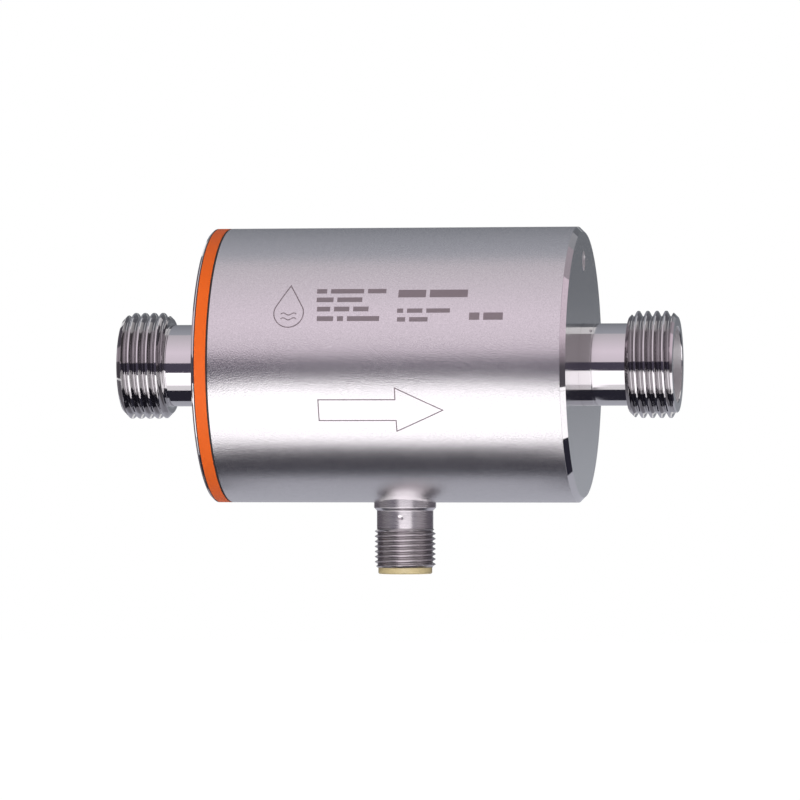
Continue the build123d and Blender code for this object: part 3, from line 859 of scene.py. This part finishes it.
@dataclass
class PipeEnd:
    """A turned pipe end: G1/2 thread, neck, and inside the housing a flange and tube socket."""

    end: End
    crest_place: float
    tip: float = box_side("outlet_fitting", 1, 0)
    face: float = box_side("housing", 1, 0)
    socket_mouth: float = box_side("outlet_fitting", 0, 0)
    flange: float = box_side("outlet_fitting", 1, 2)
    neck: float = 8.05
    thread: float = 10.4775
    root_depth: float = 1.162
    turn_depth: float = 1.085
    thread_length: float = 9.3
    runout: float = 1.1
    mouth: float = 7.4
    taper: float = 9.5
    bore: float = 5.0
    wall_depth: float = 3.0
    flange_depth: float = 3.0
    floor_depth: float = 1.5
    seal_lands: Span = (9.45, 11.45)
    seal_depth: float = 1.1
    socket: float = 8.05
    socket_wall: float = 3.0
    seam_gap: float = 2.35
    seam_size: float = 0.07
    ease: float = 0.12

    @property
    def thread_start(self) -> float:
        """Place where the thread starts, beside the neck."""
        return self.tip - self.thread_length

    @property
    def root(self) -> float:
        """Radius of the turned shape under the thread."""
        return self.thread - self.root_depth

    def chamfer(self, place: float) -> float:
        """Largest radius that the two end chamfers leave at a place."""
        inner = self.thread - self.runout + (place - self.thread_start)
        return min(inner, self.root + (self.tip - place))

    def form(self) -> Thread:
        """The Whitworth form of the pipe thread, with a crest at the given place.

        Returns:
            The thread.
        """
        return Thread(
            crest_radius=self.thread,
            pitch=PIPE_PITCH,
            depth=self.turn_depth,
            half_angle=27.5,
            crest_flat=0.1,
            crest_round=0.15,
            root_round=0.2491,
            crest_place=self.crest_place,
        )

    def profile(self) -> Line:
        """The outline from the thread's tip round the inside and back along the neck.

        Returns:
            The (place, radius) points.
        """
        wall = self.face - self.wall_depth
        flange_back = wall - self.flange_depth
        socket_floor = flange_back - self.floor_depth
        inner_land, outer_land = self.seal_lands
        core = self.socket + self.socket_wall
        seam = self.face + self.seam_gap
        outer = [
            (self.tip, self.root),
            (self.tip, self.mouth),
            (self.tip - self.taper, self.bore),
            (socket_floor, self.bore),
            (socket_floor, self.socket),
            (self.socket_mouth, self.socket),
            (self.socket_mouth, core),
            (flange_back, core),
            (flange_back, self.flange),
            (wall, self.flange),
            (wall, outer_land),
            (wall - self.seal_depth, outer_land),
            (wall - self.seal_depth, inner_land),
            (wall, inner_land),
            (wall, self.neck),
            (seam, self.neck),
            (seam + self.seam_size, self.neck - self.seam_size),
            (seam + 2 * self.seam_size, self.neck),
            (self.thread_start, self.neck),
            (self.thread_start, self.root),
        ]
        return eased(outer, self.ease)

    def build(self, finish: Finish) -> Piece:
        """Makes the pipe end.

        Args:
            finish: its material.

        Returns:
            The piece.
        """
        mesh = bmesh.new()
        form = self.form()
        add_rows(mesh, turn_profile(self.profile()), closed=True)
        add_rows(mesh, form.rings(self.thread_start, self.tip, self.chamfer))
        add_rows(mesh, form.lip(self.thread_start, self.chamfer, self.root))
        if self.end is End.INLET:
            half_turn = Matrix.Rotation(math.pi, 3, "Z")
            bmesh.ops.rotate(mesh, verts=mesh.verts, cent=(0, 0, 0), matrix=half_turn)
        piece = closed_object(self.end.name.lower() + "_pipe_end", mesh, finish)
        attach(piece, BODY)
        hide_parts(self.end.name.lower() + "_fitting")
        return piece


@dataclass
class PlugSocket:
    """The round socket below: steel shell with its M12 thread and dimple."""

    offset: float = 1.0
    top: float = -box_side("connector_shell", 1, 2)
    end: float = -box_side("connector_shell", 0, 2)
    collar: float = box_side("connector_shell", 1, 1)
    collar_low: float = 28.0
    shank: float = 5.55
    shank_top: float = 28.55
    thread_start: float = 32.2
    thread: float = 6.0
    crest: float = 5.97
    turn_depth: float = 0.56
    bore: float = 4.9
    chamfer_size: float = 0.5
    dimple: float = 0.625
    dimple_depth: float = 0.2
    dimple_drop: float = 29.9
    crest_place: float = -0.075
    ease: float = 0.07

    def form(self) -> Thread:
        """The metric fine form of the plug thread.

        Returns:
            The thread.
        """
        return Thread(
            crest_radius=self.crest,
            pitch=1.0,
            depth=self.turn_depth,
            half_angle=30.0,
            crest_flat=0.03,
            crest_round=0.07,
            root_round=0.1443,
            crest_place=self.crest_place,
            samples=18,
        )

    def chamfer(self, place: float) -> float:
        """Largest radius that the runout and the end chamfer leave at a place."""
        inner = self.shank + (place - self.thread_start)
        return min(inner, self.thread - self.chamfer_size + (self.end - place))

    def build(self, finish: Finish) -> Piece:
        """Makes the steel shell.

        Args:
            finish: its material.

        Returns:
            The piece.
        """
        form = self.form()
        root = self.crest - self.turn_depth
        outer = [
            (self.end, root),
            (self.end, self.bore),
            (self.top, self.bore),
            (self.top, self.collar),
            (self.collar_low, self.collar),
            (self.shank_top, self.shank),
            (self.thread_start, self.shank),
            (self.thread_start, root),
        ]
        mesh = bmesh.new()
        add_rows(mesh, turn_profile(eased(outer, self.ease)), closed=True)
        add_rows(mesh, form.rings(self.thread_start, self.end, self.chamfer))
        for place in (self.thread_start, self.end):
            add_rows(mesh, form.lip(place, self.chamfer, root))
        # The local +X axis is turned to point down, at the socket's place.
        down = Matrix.Translation((self.offset, 0, 0)) @ Matrix.Rotation(math.pi / 2, 4, "Y")
        bmesh.ops.transform(mesh, matrix=down, verts=mesh.verts)
        shell = closed_object("plug_shell", mesh, finish)
        self.punch(shell)
        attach(shell, BODY)
        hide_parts("connector_shell")
        return shell

    def punch(self, shell: Piece) -> None:
        """Cuts the small round dimple into the front of the shank.

        Args:
            shell: the steel shell.
        """
        ball = (self.dimple**2 + self.dimple_depth**2) / (2 * self.dimple_depth)
        mesh = bmesh.new()
        bmesh.ops.create_uvsphere(mesh, u_segments=48, v_segments=32, radius=ball)
        middle = Vector((self.offset, -self.shank - ball + self.dimple_depth, -self.dimple_drop))
        bmesh.ops.translate(mesh, verts=mesh.verts, vec=middle)
        tool = closed_object("dimple_punch", mesh, shell.data.materials[0])
        cut = shell.modifiers.new("dimple", "BOOLEAN")
        cut.operation = "DIFFERENCE"
        cut.solver = "EXACT"
        cut.object = tool
        graph = bpy.context.evaluated_depsgraph_get()
        dimpled = bpy.data.meshes.new_from_object(shell.evaluated_get(graph))
        shell.modifiers.clear()
        shell.data = dimpled
        dimpled.set_sharp_from_angle(angle=FACET_ANGLE)
        bpy.data.objects.remove(tool)


@dataclass
class FrontMarks:
    """Plain laser marks on the cylinder's front: flow arrow, drop sign and rows of bars.

    A place on the front is given by x and by the arc length above the middle of the front.
    """

    skin: float = 27.0
    proud: float = 0.012
    sunk: float = 0.05
    line: float = 0.22
    longest_run: float = 0.8
    mitre_limit: float = 0.3
    arrow_tail: float = -11.6
    arrow_neck: float = 3.45
    arrow_tip: float = 12.67
    arrow_level: float = -9.0
    arrow_shaft: float = 2.12
    arrow_head: float = 4.42
    drop_x: float = -17.5
    drop_level: float = 10.2
    drop_belly: float = 2.9
    drop_height: float = 8.9
    belly_steps: int = 30
    wave_drops: Span = (0.2, 1.2)
    wave_half: float = 1.55
    wave_rise: float = 0.22
    wave_count: float = 1.5
    wave_steps: int = 20
    bar_space: float = 0.75

    def place(self, x: float, around: float, lift: float) -> Vector:
        """A point on the cylinder's front.

        Args:
            x: place along the body.
            around: arc length above the middle of the front.
            lift: height over the skin.

        Returns:
            The point.
        """
        angle = around / self.skin
        radius = self.skin + lift
        return Vector((x, -radius * math.cos(angle), radius * math.sin(angle)))

    def add_band(self, mesh: Mesh, left: Line, right: Line) -> None:
        """Adds one closed, thin solid between two lines of points on the skin.

        Args:
            mesh: the mesh to add to.
            left: points of one edge, as (x, arc length).
            right: points of the other edge.
        """
        rows = []
        for first, second in zip(left, right):
            corners = ((first, self.proud), (second, self.proud), (second, -self.sunk), (first, -self.sunk))
            rows.append([self.place(*point, lift) for point, lift in corners])
        made = add_rows(mesh, rows, closed=True)
        if left[0] != left[-1]:
            mesh.faces.new(made[0])
            mesh.faces.new(made[-1])

    def add_outline(self, mesh: Mesh, corners: Line) -> None:
        """Adds a line round a closed shape, with mitred corners.

        Args:
            mesh: the mesh to add to.
            corners: the shape's corners, as (x, arc length).
        """
        inner = []
        outer = []
        for index, corner in enumerate(corners):
            here = Vector(corner)
            into = (here - Vector(corners[index - 1])).normalized()
            away = (Vector(corners[(index + 1) % len(corners)]) - here).normalized()
            across = Vector((-(into.y + away.y), into.x + away.x)).normalized()
            reach = self.line / 2 / max(self.mitre_limit, across.dot(Vector((-into.y, into.x))))
            inner.append(here + across * reach)
            outer.append(here - across * reach)
        left = []
        right = []
        for index in range(len(corners)):
            after = (index + 1) % len(corners)
            steps = max(1, math.ceil((inner[after] - inner[index]).length / self.longest_run))
            for step in range(steps):
                left.append(tuple(inner[index].lerp(inner[after], step / steps)))
                right.append(tuple(outer[index].lerp(outer[after], step / steps)))
        left.append(left[0])
        right.append(right[0])
        self.add_band(mesh, left, right)

    def add_bar(self, mesh: Mesh, x: float, length: float, around: float, height: float) -> None:
        """Adds a plain bar.

        Args:
            mesh: the mesh to add to.
            x: its left end.
            length: its length.
            around: arc length of its middle.
            height: its height.
        """
        steps = max(1, math.ceil(height / self.longest_run))
        levels = [around - height / 2 + height * step / steps for step in range(steps + 1)]
        self.add_band(mesh, [(x, level) for level in levels], [(x + length, level) for level in levels])

    def build_arrow(self, finish: Finish) -> Piece:
        """Makes the outlined flow arrow, which points along +X.

        Args:
            finish: its material.

        Returns:
            The piece.
        """
        mesh = bmesh.new()
        corners = [
            (self.arrow_tail, self.arrow_level - self.arrow_shaft),
            (self.arrow_neck, self.arrow_level - self.arrow_shaft),
            (self.arrow_neck, self.arrow_level - self.arrow_head),
            (self.arrow_tip, self.arrow_level),
            (self.arrow_neck, self.arrow_level + self.arrow_head),
            (self.arrow_neck, self.arrow_level + self.arrow_shaft),
            (self.arrow_tail, self.arrow_level + self.arrow_shaft),
        ]
        self.add_outline(mesh, corners)
        return self.finish_mark("flow_arrow", mesh, finish)

    def build_drop(self, finish: Finish) -> Piece:
        """Makes a plain drop of water with two waves, as a general sign for liquid.

        Args:
            finish: its material.

        Returns:
            The piece.
        """
        mesh = bmesh.new()
        tip = self.drop_height - self.drop_belly
        tangent = math.acos(self.drop_belly / tip)
        sweep = 2 * math.pi - 2 * tangent
        corners = [(self.drop_x, self.drop_level + tip)]
        for step in range(self.belly_steps + 1):
            angle = math.pi / 2 + tangent + sweep * step / self.belly_steps
            x = self.drop_x + self.drop_belly * math.cos(angle)
            corners.append((x, self.drop_level + self.drop_belly * math.sin(angle)))
        self.add_outline(mesh, corners)
        for drop in self.wave_drops:
            upper = []
            lower = []
            for step in range(self.wave_steps + 1):
                share = step / self.wave_steps
                x = self.drop_x - self.wave_half + 2 * self.wave_half * share
                rise = self.wave_rise * math.sin(2 * math.pi * self.wave_count * share)
                upper.append((x, self.drop_level - drop + rise + self.line / 2))
                lower.append((x, self.drop_level - drop + rise - self.line / 2))
            self.add_band(mesh, lower, upper)
        return self.finish_mark("drop_sign", mesh, finish)

    def build_bars(self, finish: Finish) -> Piece:
        """Makes the rows of plain bars.

        Args:
            finish: its material.

        Returns:
            The piece.
        """
        # Each row's left end, the arc length of its middle, its height and its bars' lengths.
        rows = [
            (-12.3, 14.9, 1.0, (2.0, 6.5, 3.6)),
            (-12.2, 13.0, 1.0, (3.3, 4.9)),
            (-12.0, 11.0, 1.0, (2.6, 3.0, 3.0)),
            (-11.9, 9.0, 1.0, (3.2, 1.2, 6.3)),
            (3.7, 14.3, 1.7, (5.4, 7.4)),
            (3.7, 10.6, 0.9, (1.2, 3.0, 4.6)),
            (3.8, 8.8, 0.9, (1.6, 3.6)),
            (17.8, 9.4, 1.5, (2.0, 3.8)),
        ]
        mesh = bmesh.new()
        for x, around, height, lengths in rows:
            for length in lengths:
                self.add_bar(mesh, x, length, around, height)
                x += length + self.bar_space
        return self.finish_mark("mark_bars", mesh, finish)

    def finish_mark(self, name: str, mesh: Mesh, finish: Finish) -> Piece:
        """Turns a mark's mesh into a piece.

        Args:
            name: the piece's name.
            mesh: its mesh.
            finish: its material.

        Returns:
            The piece.
        """
        piece = closed_object(name, mesh, finish)
        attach(piece, BODY)
        return piece


class Wardrobe:
    """The finishes of the CAD nodes."""

    def dress(self) -> dict[str, Finish]:
        """Gives every CAD node its material.

        Returns:
            The materials by node name.
        """
        pipe = PipeSteel().material()
        rubber = Plastic("black rubber", (0.012, 0.012, 0.014), 0.55).material()
        tan = Plastic("tan plastic", (0.56, 0.45, 0.32), 0.5).material()
        iron = DullMetal("soft iron", (0.36, 0.35, 0.35), 0.42).material()
        white = Plastic("white plastic", (0.72, 0.72, 0.68), 0.45).material()
        copper = WoundCopper().material()
        screw = DullMetal("screw steel", (0.6, 0.6, 0.62), 0.3).material()
        black = Plastic("black plastic", (0.015, 0.015, 0.016), 0.42, skin=4000.0).material()
        leads = Plastic("lead insulation", (0.40, 0.40, 0.42), 0.4).material()
        yellow = Plastic("yellow plastic", (0.53, 0.43, 0.23), 0.42).material()
        orange = Plastic("orange plastic", (0.69, 0.104, 0.006), 0.5, shade=0.94, gloss=0.2).material()
        electrode = TurnedSteel("electrode steel", TurningRings(Lathe.FRONT_TO_BACK)).material()
        finishes = {
            "housing": BlastedSteel().material(),
            "end_cover": TurnedSteel("turned steel", TurningRings(Lathe.ALONG_PIPE)).material(),
            "accent_ring": orange,
            "cover_lock_ring": DullMetal("spring steel", (0.5, 0.5, 0.52), 0.3).material(),
            "measuring_tube": tan,
            "magnet_yoke": iron,
            "yoke_screws": screw,
            "circuit_board": PrintedBoard().material(),
            "board_spacers": white,
            "board_screws": screw,
            "processor": black,
            "board_chips": black,
            "capacitors": DullMetal("capacitor can", (0.66, 0.66, 0.68), 0.28).material(),
            "electrode_leads": leads,
            "coil_leads": leads,
            "connector_shell": PlugSteel().material(),
            "socket_liner": yellow,
            "contact_carrier": yellow,
            "contact_pins": DullMetal("gold contact", (0.83, 0.62, 0.27), 0.2).material(),
            "fill_plug": DullMetal("plug steel", (0.92, 0.92, 0.92), 0.55).material(),
        }
        for seal in ("ring_gasket_outer", "ring_gasket_inner", "cover_seal", "carrier_seal"):
            finishes[seal] = rubber
        for end in ("inlet", "outlet"):
            finishes[f"{end}_fitting"] = pipe
            finishes[f"neck_seal_{end}"] = rubber
            finishes[f"tube_seal_{end}"] = rubber
        for place in ("front", "rear"):
            finishes[f"electrode_{place}"] = electrode
            finishes[f"electrode_seal_{place}"] = rubber
            finishes[f"electrode_nut_{place}"] = tan
        for place in ("upper", "lower"):
            finishes[f"pole_{place}"] = iron
            finishes[f"bobbin_{place}"] = white
            finishes[f"winding_{place}"] = copper
        for name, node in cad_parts.items():
            for pocket in node.material_slots:
                pocket.material = finishes[name]
            log.info("dressed %s in %s", name, finishes[name].name)
        return finishes


class Glow(Enum):
    """The own light of the studio's cards, as linear red, green and blue."""

    BLACK = (0.027, 0.026, 0.039)
    DARK = (0.084, 0.074, 0.108)
    SHADE = (0.095, 0.085, 0.10)
    DUSK = (0.11, 0.10, 0.12)
    LEFT_WING = (0.16, 0.145, 0.155)
    FACE_HIGH = (0.163, 0.172, 0.19)
    WALL_LOW = (0.17, 0.18, 0.20)
    FAR_TABLE = (0.19, 0.18, 0.20)
    WING = (0.34, 0.31, 0.33)
    FAR_REAR = (0.34, 0.345, 0.37)
    FACE_LOW = (0.36, 0.375, 0.41)
    FAR_ROSE = (0.42, 0.37, 0.41)
    WALL_TOP = (0.43, 0.445, 0.495)
    TABLE = (0.48, 0.485, 0.54)
    TOP = (0.64, 0.60, 0.64)
    ROSE = (0.79, 0.66, 0.75)
    HAZE = (0.845, 0.75, 0.833)
    NECK = (0.95, 0.92, 0.95)
    PALE = (0.966, 0.85, 0.95)
    SIDE = (1.45, 1.41, 1.45)
    MIDDLE = (1.65, 1.60, 1.65)
    NEAR = (1.75, 1.70, 1.75)
    FAR = (1.95, 1.90, 1.95)


class Turn(Enum):
    """How a card is turned about Z, in degrees: not at all, or to stand on the right or the left."""

    NONE = 0.0
    RIGHT = 90.0
    LEFT = -90.0


@dataclass(frozen=True)
class StudioCard:
    """A panel that the metal mirrors, drawn in metres as a line of (y, z) points and a reach along x."""

    name: str
    line: Line
    reach: Span
    light: Glow
    end_light: Glow | None = None
    turn: Turn = Turn.NONE

    @classmethod
    def flat(cls, name: str, height: float, depth: Span, reach: Span, light: Glow) -> "StudioCard":
        """A level card at one height, of one light."""
        return cls(name, [(y, height) for y in depth], reach, light)

    @classmethod
    def upright(
        cls, name: str, place: float, heights: Span, reach: Span, light: Glow, turn: Turn = Turn.NONE
    ) -> "StudioCard":
        """An upright card at one place, of one light."""
        return cls(name, [(place, z) for z in heights], reach, light, turn=turn)

    def build(self) -> None:
        """Makes the card, which only metal and glass see."""
        mesh = bmesh.new()
        add_rows(mesh, [[Vector((x, y, z)) for x in self.reach] for y, z in self.line])
        data = bpy.data.meshes.new(self.name)
        mesh.to_mesh(data)
        mesh.free()
        data.materials.append(self.glow())
        card = bpy.data.objects.new(self.name, data)
        bpy.context.scene.collection.objects.link(card)
        card.visible_camera = False
        card.visible_shadow = False
        card.visible_diffuse = False
        card.rotation_euler.z = math.radians(self.turn.value)

    def glow(self) -> Finish:
        """The card's own light, of one colour or graded along its line.

        Returns:
            The material.
        """
        sheet = new_sheet(self.name)
        lamp = sheet.add("ShaderNodeEmission")
        if self.end_light is None:
            lamp.inputs["Color"].default_value = (*self.light.value, 1.0)
        else:
            start = Vector(self.line[0])
            run = Vector(self.line[-1]) - start
            _, y, z = sheet.axes()
            level = sheet.reckon("MULTIPLY", y, run.x / run.length_squared)
            upward = sheet.reckon("MULTIPLY", z, run.y / run.length_squared)
            from_zero = sheet.reckon("ADD", level, upward)
            share = sheet.reckon("SUBTRACT", from_zero, start.dot(run) / run.length_squared)
            sheet.join(sheet.tint(share, self.light.value, self.end_light.value), lamp.inputs["Color"])
        sheet.show(lamp.outputs["Emission"])
        return sheet.owner


@dataclass(frozen=True)
class SoftLamp:
    """A square lamp that faces the object, with place and size in metres and power in watts."""

    name: str
    place: Triple
    size: float
    power: float

    def build(self) -> None:
        """Hangs the lamp."""
        data = bpy.data.lights.new(self.name, "AREA")
        data.size = self.size
        data.energy = self.power
        lamp = bpy.data.objects.new(self.name, data)
        bpy.context.scene.collection.objects.link(lamp)
        lamp.location = self.place
        lamp.rotation_mode = "QUATERNION"
        lamp.rotation_quaternion = (-Vector(self.place)).to_track_quat("-Z", "Y")
        lamp.visible_camera = False
        lamp.visible_glossy = False


@dataclass
class Studio:
    """Pale floor, white surroundings, soft lamps, and the cards that the steel mirrors."""

    floor: float = -0.30
    floor_size: float = 12.0
    floor_paint: Colour = (0.85, 0.85, 0.85)
    floor_share: float = 0.75
    floor_light: float = 1.27
    card_gap: float = 0.02
    ambient: float = 0.36
    distance: float = 1.18
    yaw: float = 9.67
    aim_drop: float = 0.00686
    scale: float = 5.086
    roll: float = 0.1
    sensor: float = 36.0
    picture: float = 800.0

    @property
    def low(self) -> float:
        """Height of the cards that lie on the floor."""
        return self.floor + self.card_gap

    def build_world(self) -> None:
        """Makes the surroundings: white to the camera and to metal, softer as light."""
        world = bpy.data.worlds.new("studio")
        bpy.context.scene.world = world
        sheet = Sheet(world)
        background = sheet.add("ShaderNodeBackground")
        background.inputs["Color"].default_value = (1.0, 1.0, 1.0, 1.0)
        strength = sheet.spread(sheet.looked_at(), 0.0, 1.0, self.ambient, 1.0)
        sheet.join(strength, background.inputs["Strength"])
        sheet.show(background.outputs["Background"], "ShaderNodeOutputWorld")

    def build_floor(self) -> None:
        """Makes the pale floor, which keeps the object's soft shadow."""
        mesh = bmesh.new()
        bmesh.ops.create_grid(mesh, x_segments=1, y_segments=1, size=self.floor_size / 2)
        bmesh.ops.translate(mesh, verts=mesh.verts, vec=(0, 0, self.floor))
        data = bpy.data.meshes.new("floor")
        mesh.to_mesh(data)
        mesh.free()
        sheet = new_sheet("pale floor")
        paint = sheet.add("ShaderNodeBsdfDiffuse")
        paint.inputs["Color"].default_value = (*self.floor_paint, 1.0)
        white = sheet.add("ShaderNodeEmission")
        white.inputs["Strength"].default_value = self.floor_light
        mix = sheet.add("ShaderNodeMixShader")
        sheet.join(sheet.reckon("MULTIPLY", sheet.looked_at(), self.floor_share), mix.inputs["Fac"])
        sheet.join(paint.outputs["BSDF"], mix.inputs[1])
        sheet.join(white.outputs["Emission"], mix.inputs[2])
        sheet.show(mix.outputs["Shader"])
        data.materials.append(sheet.owner)
        floor = bpy.data.objects.new("floor", data)
        bpy.context.scene.collection.objects.link(floor)

    @staticmethod
    def arc(radius: float, first: int, last: int) -> Line:
        """A line round the object from the front over the top to the back.

        Args:
            radius: its distance from the pipe's axis, in metres.
            first: angle over the front horizon where it starts, in degrees.
            last: angle where it ends.

        Returns:
            The line's (y, z) points.
        """
        angles = [math.radians(degree) for degree in range(first, last + 1, 6)]
        return [(-radius * math.cos(angle), radius * math.sin(angle)) for angle in angles]

    def front_cards(self) -> list[StudioCard]:
        """The dark cards in front of the object.

        Returns:
            The cards.
        """
        front = -0.69
        heights = (self.low, 0.5)
        return [
            StudioCard.upright("front_flag", -0.70, (-0.184, 0.078), (-1.2, 1.2), Glow.DARK),
            StudioCard.upright("left_strip", front, heights, (-0.53, -0.46), Glow.BLACK),
            StudioCard.upright("right_strip", front, heights, (0.40, 0.47), Glow.BLACK),
        ]

    def neck_cards(self) -> list[StudioCard]:
        """The small cards close before and under the necks and the plug socket.

        Returns:
            The cards.
        """
        near = -0.12
        cards = [StudioCard.upright("plug_glow", -0.10, (-0.065, -0.030), (-0.028, 0.073), Glow.MIDDLE)]
        for end, reach in (("right", (0.023, 0.09)), ("left", (-0.12, -0.057))):
            cards += [
                StudioCard.upright(f"{end}_near_flag", near, (-0.044, 0.009), reach, Glow.DARK),
                StudioCard.flat(f"{end}_near_glow", near, (-0.078, -0.037), reach, Glow.NECK),
                StudioCard.flat(f"{end}_near_under", near, (-0.037, 0.065), reach, Glow.BLACK),
            ]
        return cards

    def ground_cards(self) -> list[StudioCard]:
        """The cards on the floor: bright in front, black under the object, grey behind it.

        Returns:
            The cards.
        """
        low = self.low
        front = (-0.27, 0.40)
        far_line = ((-0.70, -0.184), (-0.70, low), (-0.431, low))
        return [
            StudioCard("glow_far", far_line, front, Glow.FAR),
            StudioCard.flat("glow_mid", low, (-0.431, -0.165), front, Glow.MIDDLE),
            StudioCard.flat("glow_near", low, (-0.165, -0.120), front, Glow.NEAR),
            StudioCard.flat("right_glow", low, (-0.6, 0.078), (0.455, 1.25), Glow.SIDE),
            StudioCard.flat("under_flag", low, (-0.120, 0.062), (-0.453, 0.453), Glow.BLACK),
            StudioCard.flat("bevel_flag", low, (0.062, 0.225), (0.15, 0.453), Glow.BLACK),
            StudioCard.flat("table_card", low, (0.062, 4.0), (-0.5, 0.15), Glow.TABLE),
            StudioCard.flat("table_near", low, (0.225, 1.0), (0.15, 0.6), Glow.TABLE),
            StudioCard.flat("table_left", low, (0.078, 4.0), (-1.3, -0.5), Glow.FAR_TABLE),
            StudioCard.flat("table_right", low, (0.078, 4.0), (0.6, 1.3), Glow.FAR_TABLE),
        ]

    def upper_cards(self) -> list[StudioCard]:
        """The curved cards over the object, from the front to the back.

        Returns:
            The cards.
        """
        lower = self.arc(0.75, 6, 36)
        upper = self.arc(0.75, 36, 96)
        middle = (-0.4, 0.1)
        right = (0.1, 1.3)
        left = (-1.3, -0.4)
        return [
            StudioCard("lower_panel", lower, middle, Glow.HAZE, Glow.PALE),
            StudioCard("upper_panel", upper, middle, Glow.PALE, Glow.TOP),
            StudioCard("lower_wing", lower, right, Glow.WING),
            StudioCard("upper_wing", upper, right, Glow.WING),
            StudioCard("lower_left", lower, left, Glow.LEFT_WING),
            StudioCard("upper_left", upper, left, Glow.LEFT_WING),
            StudioCard("rear_panel", self.arc(1.6, 96, 180), (-0.6, 0.12), Glow.WALL_TOP, Glow.WALL_LOW),
        ]

    def rear_cards(self) -> list[StudioCard]:
        """The cards behind the object, which its end wall mirrors.

        Returns:
            The cards.
        """
        flag = 1.3
        back = 1.61
        middle = (0.12, 0.45)
        right = (0.45, 1.3)
        return [
            StudioCard.upright("rear_flag_low", flag, (self.low, -0.04), middle, Glow.FACE_LOW),
            StudioCard("rear_flag", ((flag, -0.04), (flag, 0.04)), middle, Glow.FACE_LOW, Glow.FACE_HIGH),
            StudioCard.upright("rear_flag_top", flag, (0.04, 1.6), middle, Glow.FACE_HIGH),
            StudioCard.upright("rear_left", back, (self.low, 0.4), (-1.3, -0.6), Glow.DUSK),
            StudioCard.upright("rear_right", back, (self.low, 0.6), right, Glow.DUSK),
            StudioCard.upright("rear_high", back, (0.6, 1.6), right, Glow.FAR_REAR),
        ]

    def side_cards(self) -> list[StudioCard]:
        """The cards to the right and to the left of the object.

        Returns:
            The cards.
        """
        low = self.low
        out = -1.3
        top = 1.6
        near = (-1.0, 0.45)
        rise = ((out, -0.02), (out, 0.33))
        return [
            StudioCard.upright("right_wall", out, (low, 0.6), (0.45, 1.61), Glow.DUSK, Turn.RIGHT),
            StudioCard.upright("right_low", out, (low, -0.245), near, Glow.SIDE, Turn.RIGHT),
            StudioCard.upright("right_flag", out, (-0.245, -0.02), near, Glow.SHADE, Turn.RIGHT),
            StudioCard("right_rise", rise, near, Glow.SHADE, Glow.ROSE, Turn.RIGHT),
            StudioCard.upright("right_panel", out, (0.33, top), near, Glow.ROSE, Turn.RIGHT),
            StudioCard.upright("right_high", out, (0.6, top), (0.45, 1.61), Glow.FAR_ROSE, Turn.RIGHT),
            StudioCard.upright("left_wall", out, (low, top), (-1.61, -0.45), Glow.DUSK, Turn.LEFT),
            StudioCard.upright("left_flag", out, (-0.243, 0.084), (-0.45, 1.0), Glow.SHADE, Turn.LEFT),
            StudioCard.upright("left_panel", out, (0.084, top), (-0.45, 1.0), Glow.FAR_ROSE, Turn.LEFT),
        ]

    def build_cards(self) -> None:
        """Hangs the panels and flags round the object."""
        cards = self.front_cards() + self.neck_cards() + self.ground_cards()
        cards += self.upper_cards() + self.rear_cards() + self.side_cards()
        for card in cards:
            card.build()

    def build_lamps(self) -> None:
        """Hangs the soft lamps: one above the front, one low in front."""
        SoftLamp("upper_lamp", place=(0.1, -0.75, 0.85), size=0.8, power=4.9).build()
        SoftLamp("low_lamp", place=(0.1, -0.75, -0.20), size=0.5, power=5.8).build()

    def build_camera(self) -> None:
        """Sets the camera where the photograph was taken from."""
        data = bpy.data.cameras.new("camera")
        data.sensor_width = self.sensor
        data.lens = self.scale * self.distance / MM * self.sensor / self.picture
        data.clip_start = 0.05
        data.clip_end = 60.0
        camera = bpy.data.objects.new("camera", data)
        bpy.context.scene.collection.objects.link(camera)
        angle = math.radians(self.yaw)
        away = Vector((math.sin(angle), -math.cos(angle), 0.0))
        camera.location = away * self.distance - Vector((0, 0, self.aim_drop))
        camera.rotation_mode = "QUATERNION"
        level = (-away).to_track_quat("-Z", "Y")
        tilt = Matrix.Rotation(math.radians(-self.roll), 4, "Z").to_quaternion()
        camera.rotation_quaternion = level @ tilt
        bpy.context.scene.camera = camera

    def build(self) -> None:
        """Makes the whole studio."""
        self.build_world()
        self.build_floor()
        self.build_cards()
        self.build_lamps()
        self.build_camera()
        bpy.context.scene.view_settings.view_transform = "Standard"


def main() -> None:
    """Builds the studio and every piece, and reports each."""
    logging.basicConfig(level=logging.INFO, format="%(name)s %(message)s")
    Studio().build()
    finishes = Wardrobe().dress()
    # The crests are placed where the front of each thread shows them, a quarter turn on.
    quarter = PIPE_PITCH / 4
    pieces = [
        PipeEnd(End.OUTLET, crest_place=47.33 - quarter).build(finishes["outlet_fitting"]),
        PipeEnd(End.INLET, crest_place=52.90 - quarter).build(finishes["inlet_fitting"]),
        PlugSocket().build(finishes["connector_shell"]),
    ]
    mark = LaserMark().material()
    marks = FrontMarks()
    pieces += [marks.build_arrow(mark), marks.build_drop(mark), marks.build_bars(mark)]
    for piece in pieces:
        log.info("made %s, %d faces", piece.name, len(piece.data.polygons))


if __name__ == "__main__":
    main()
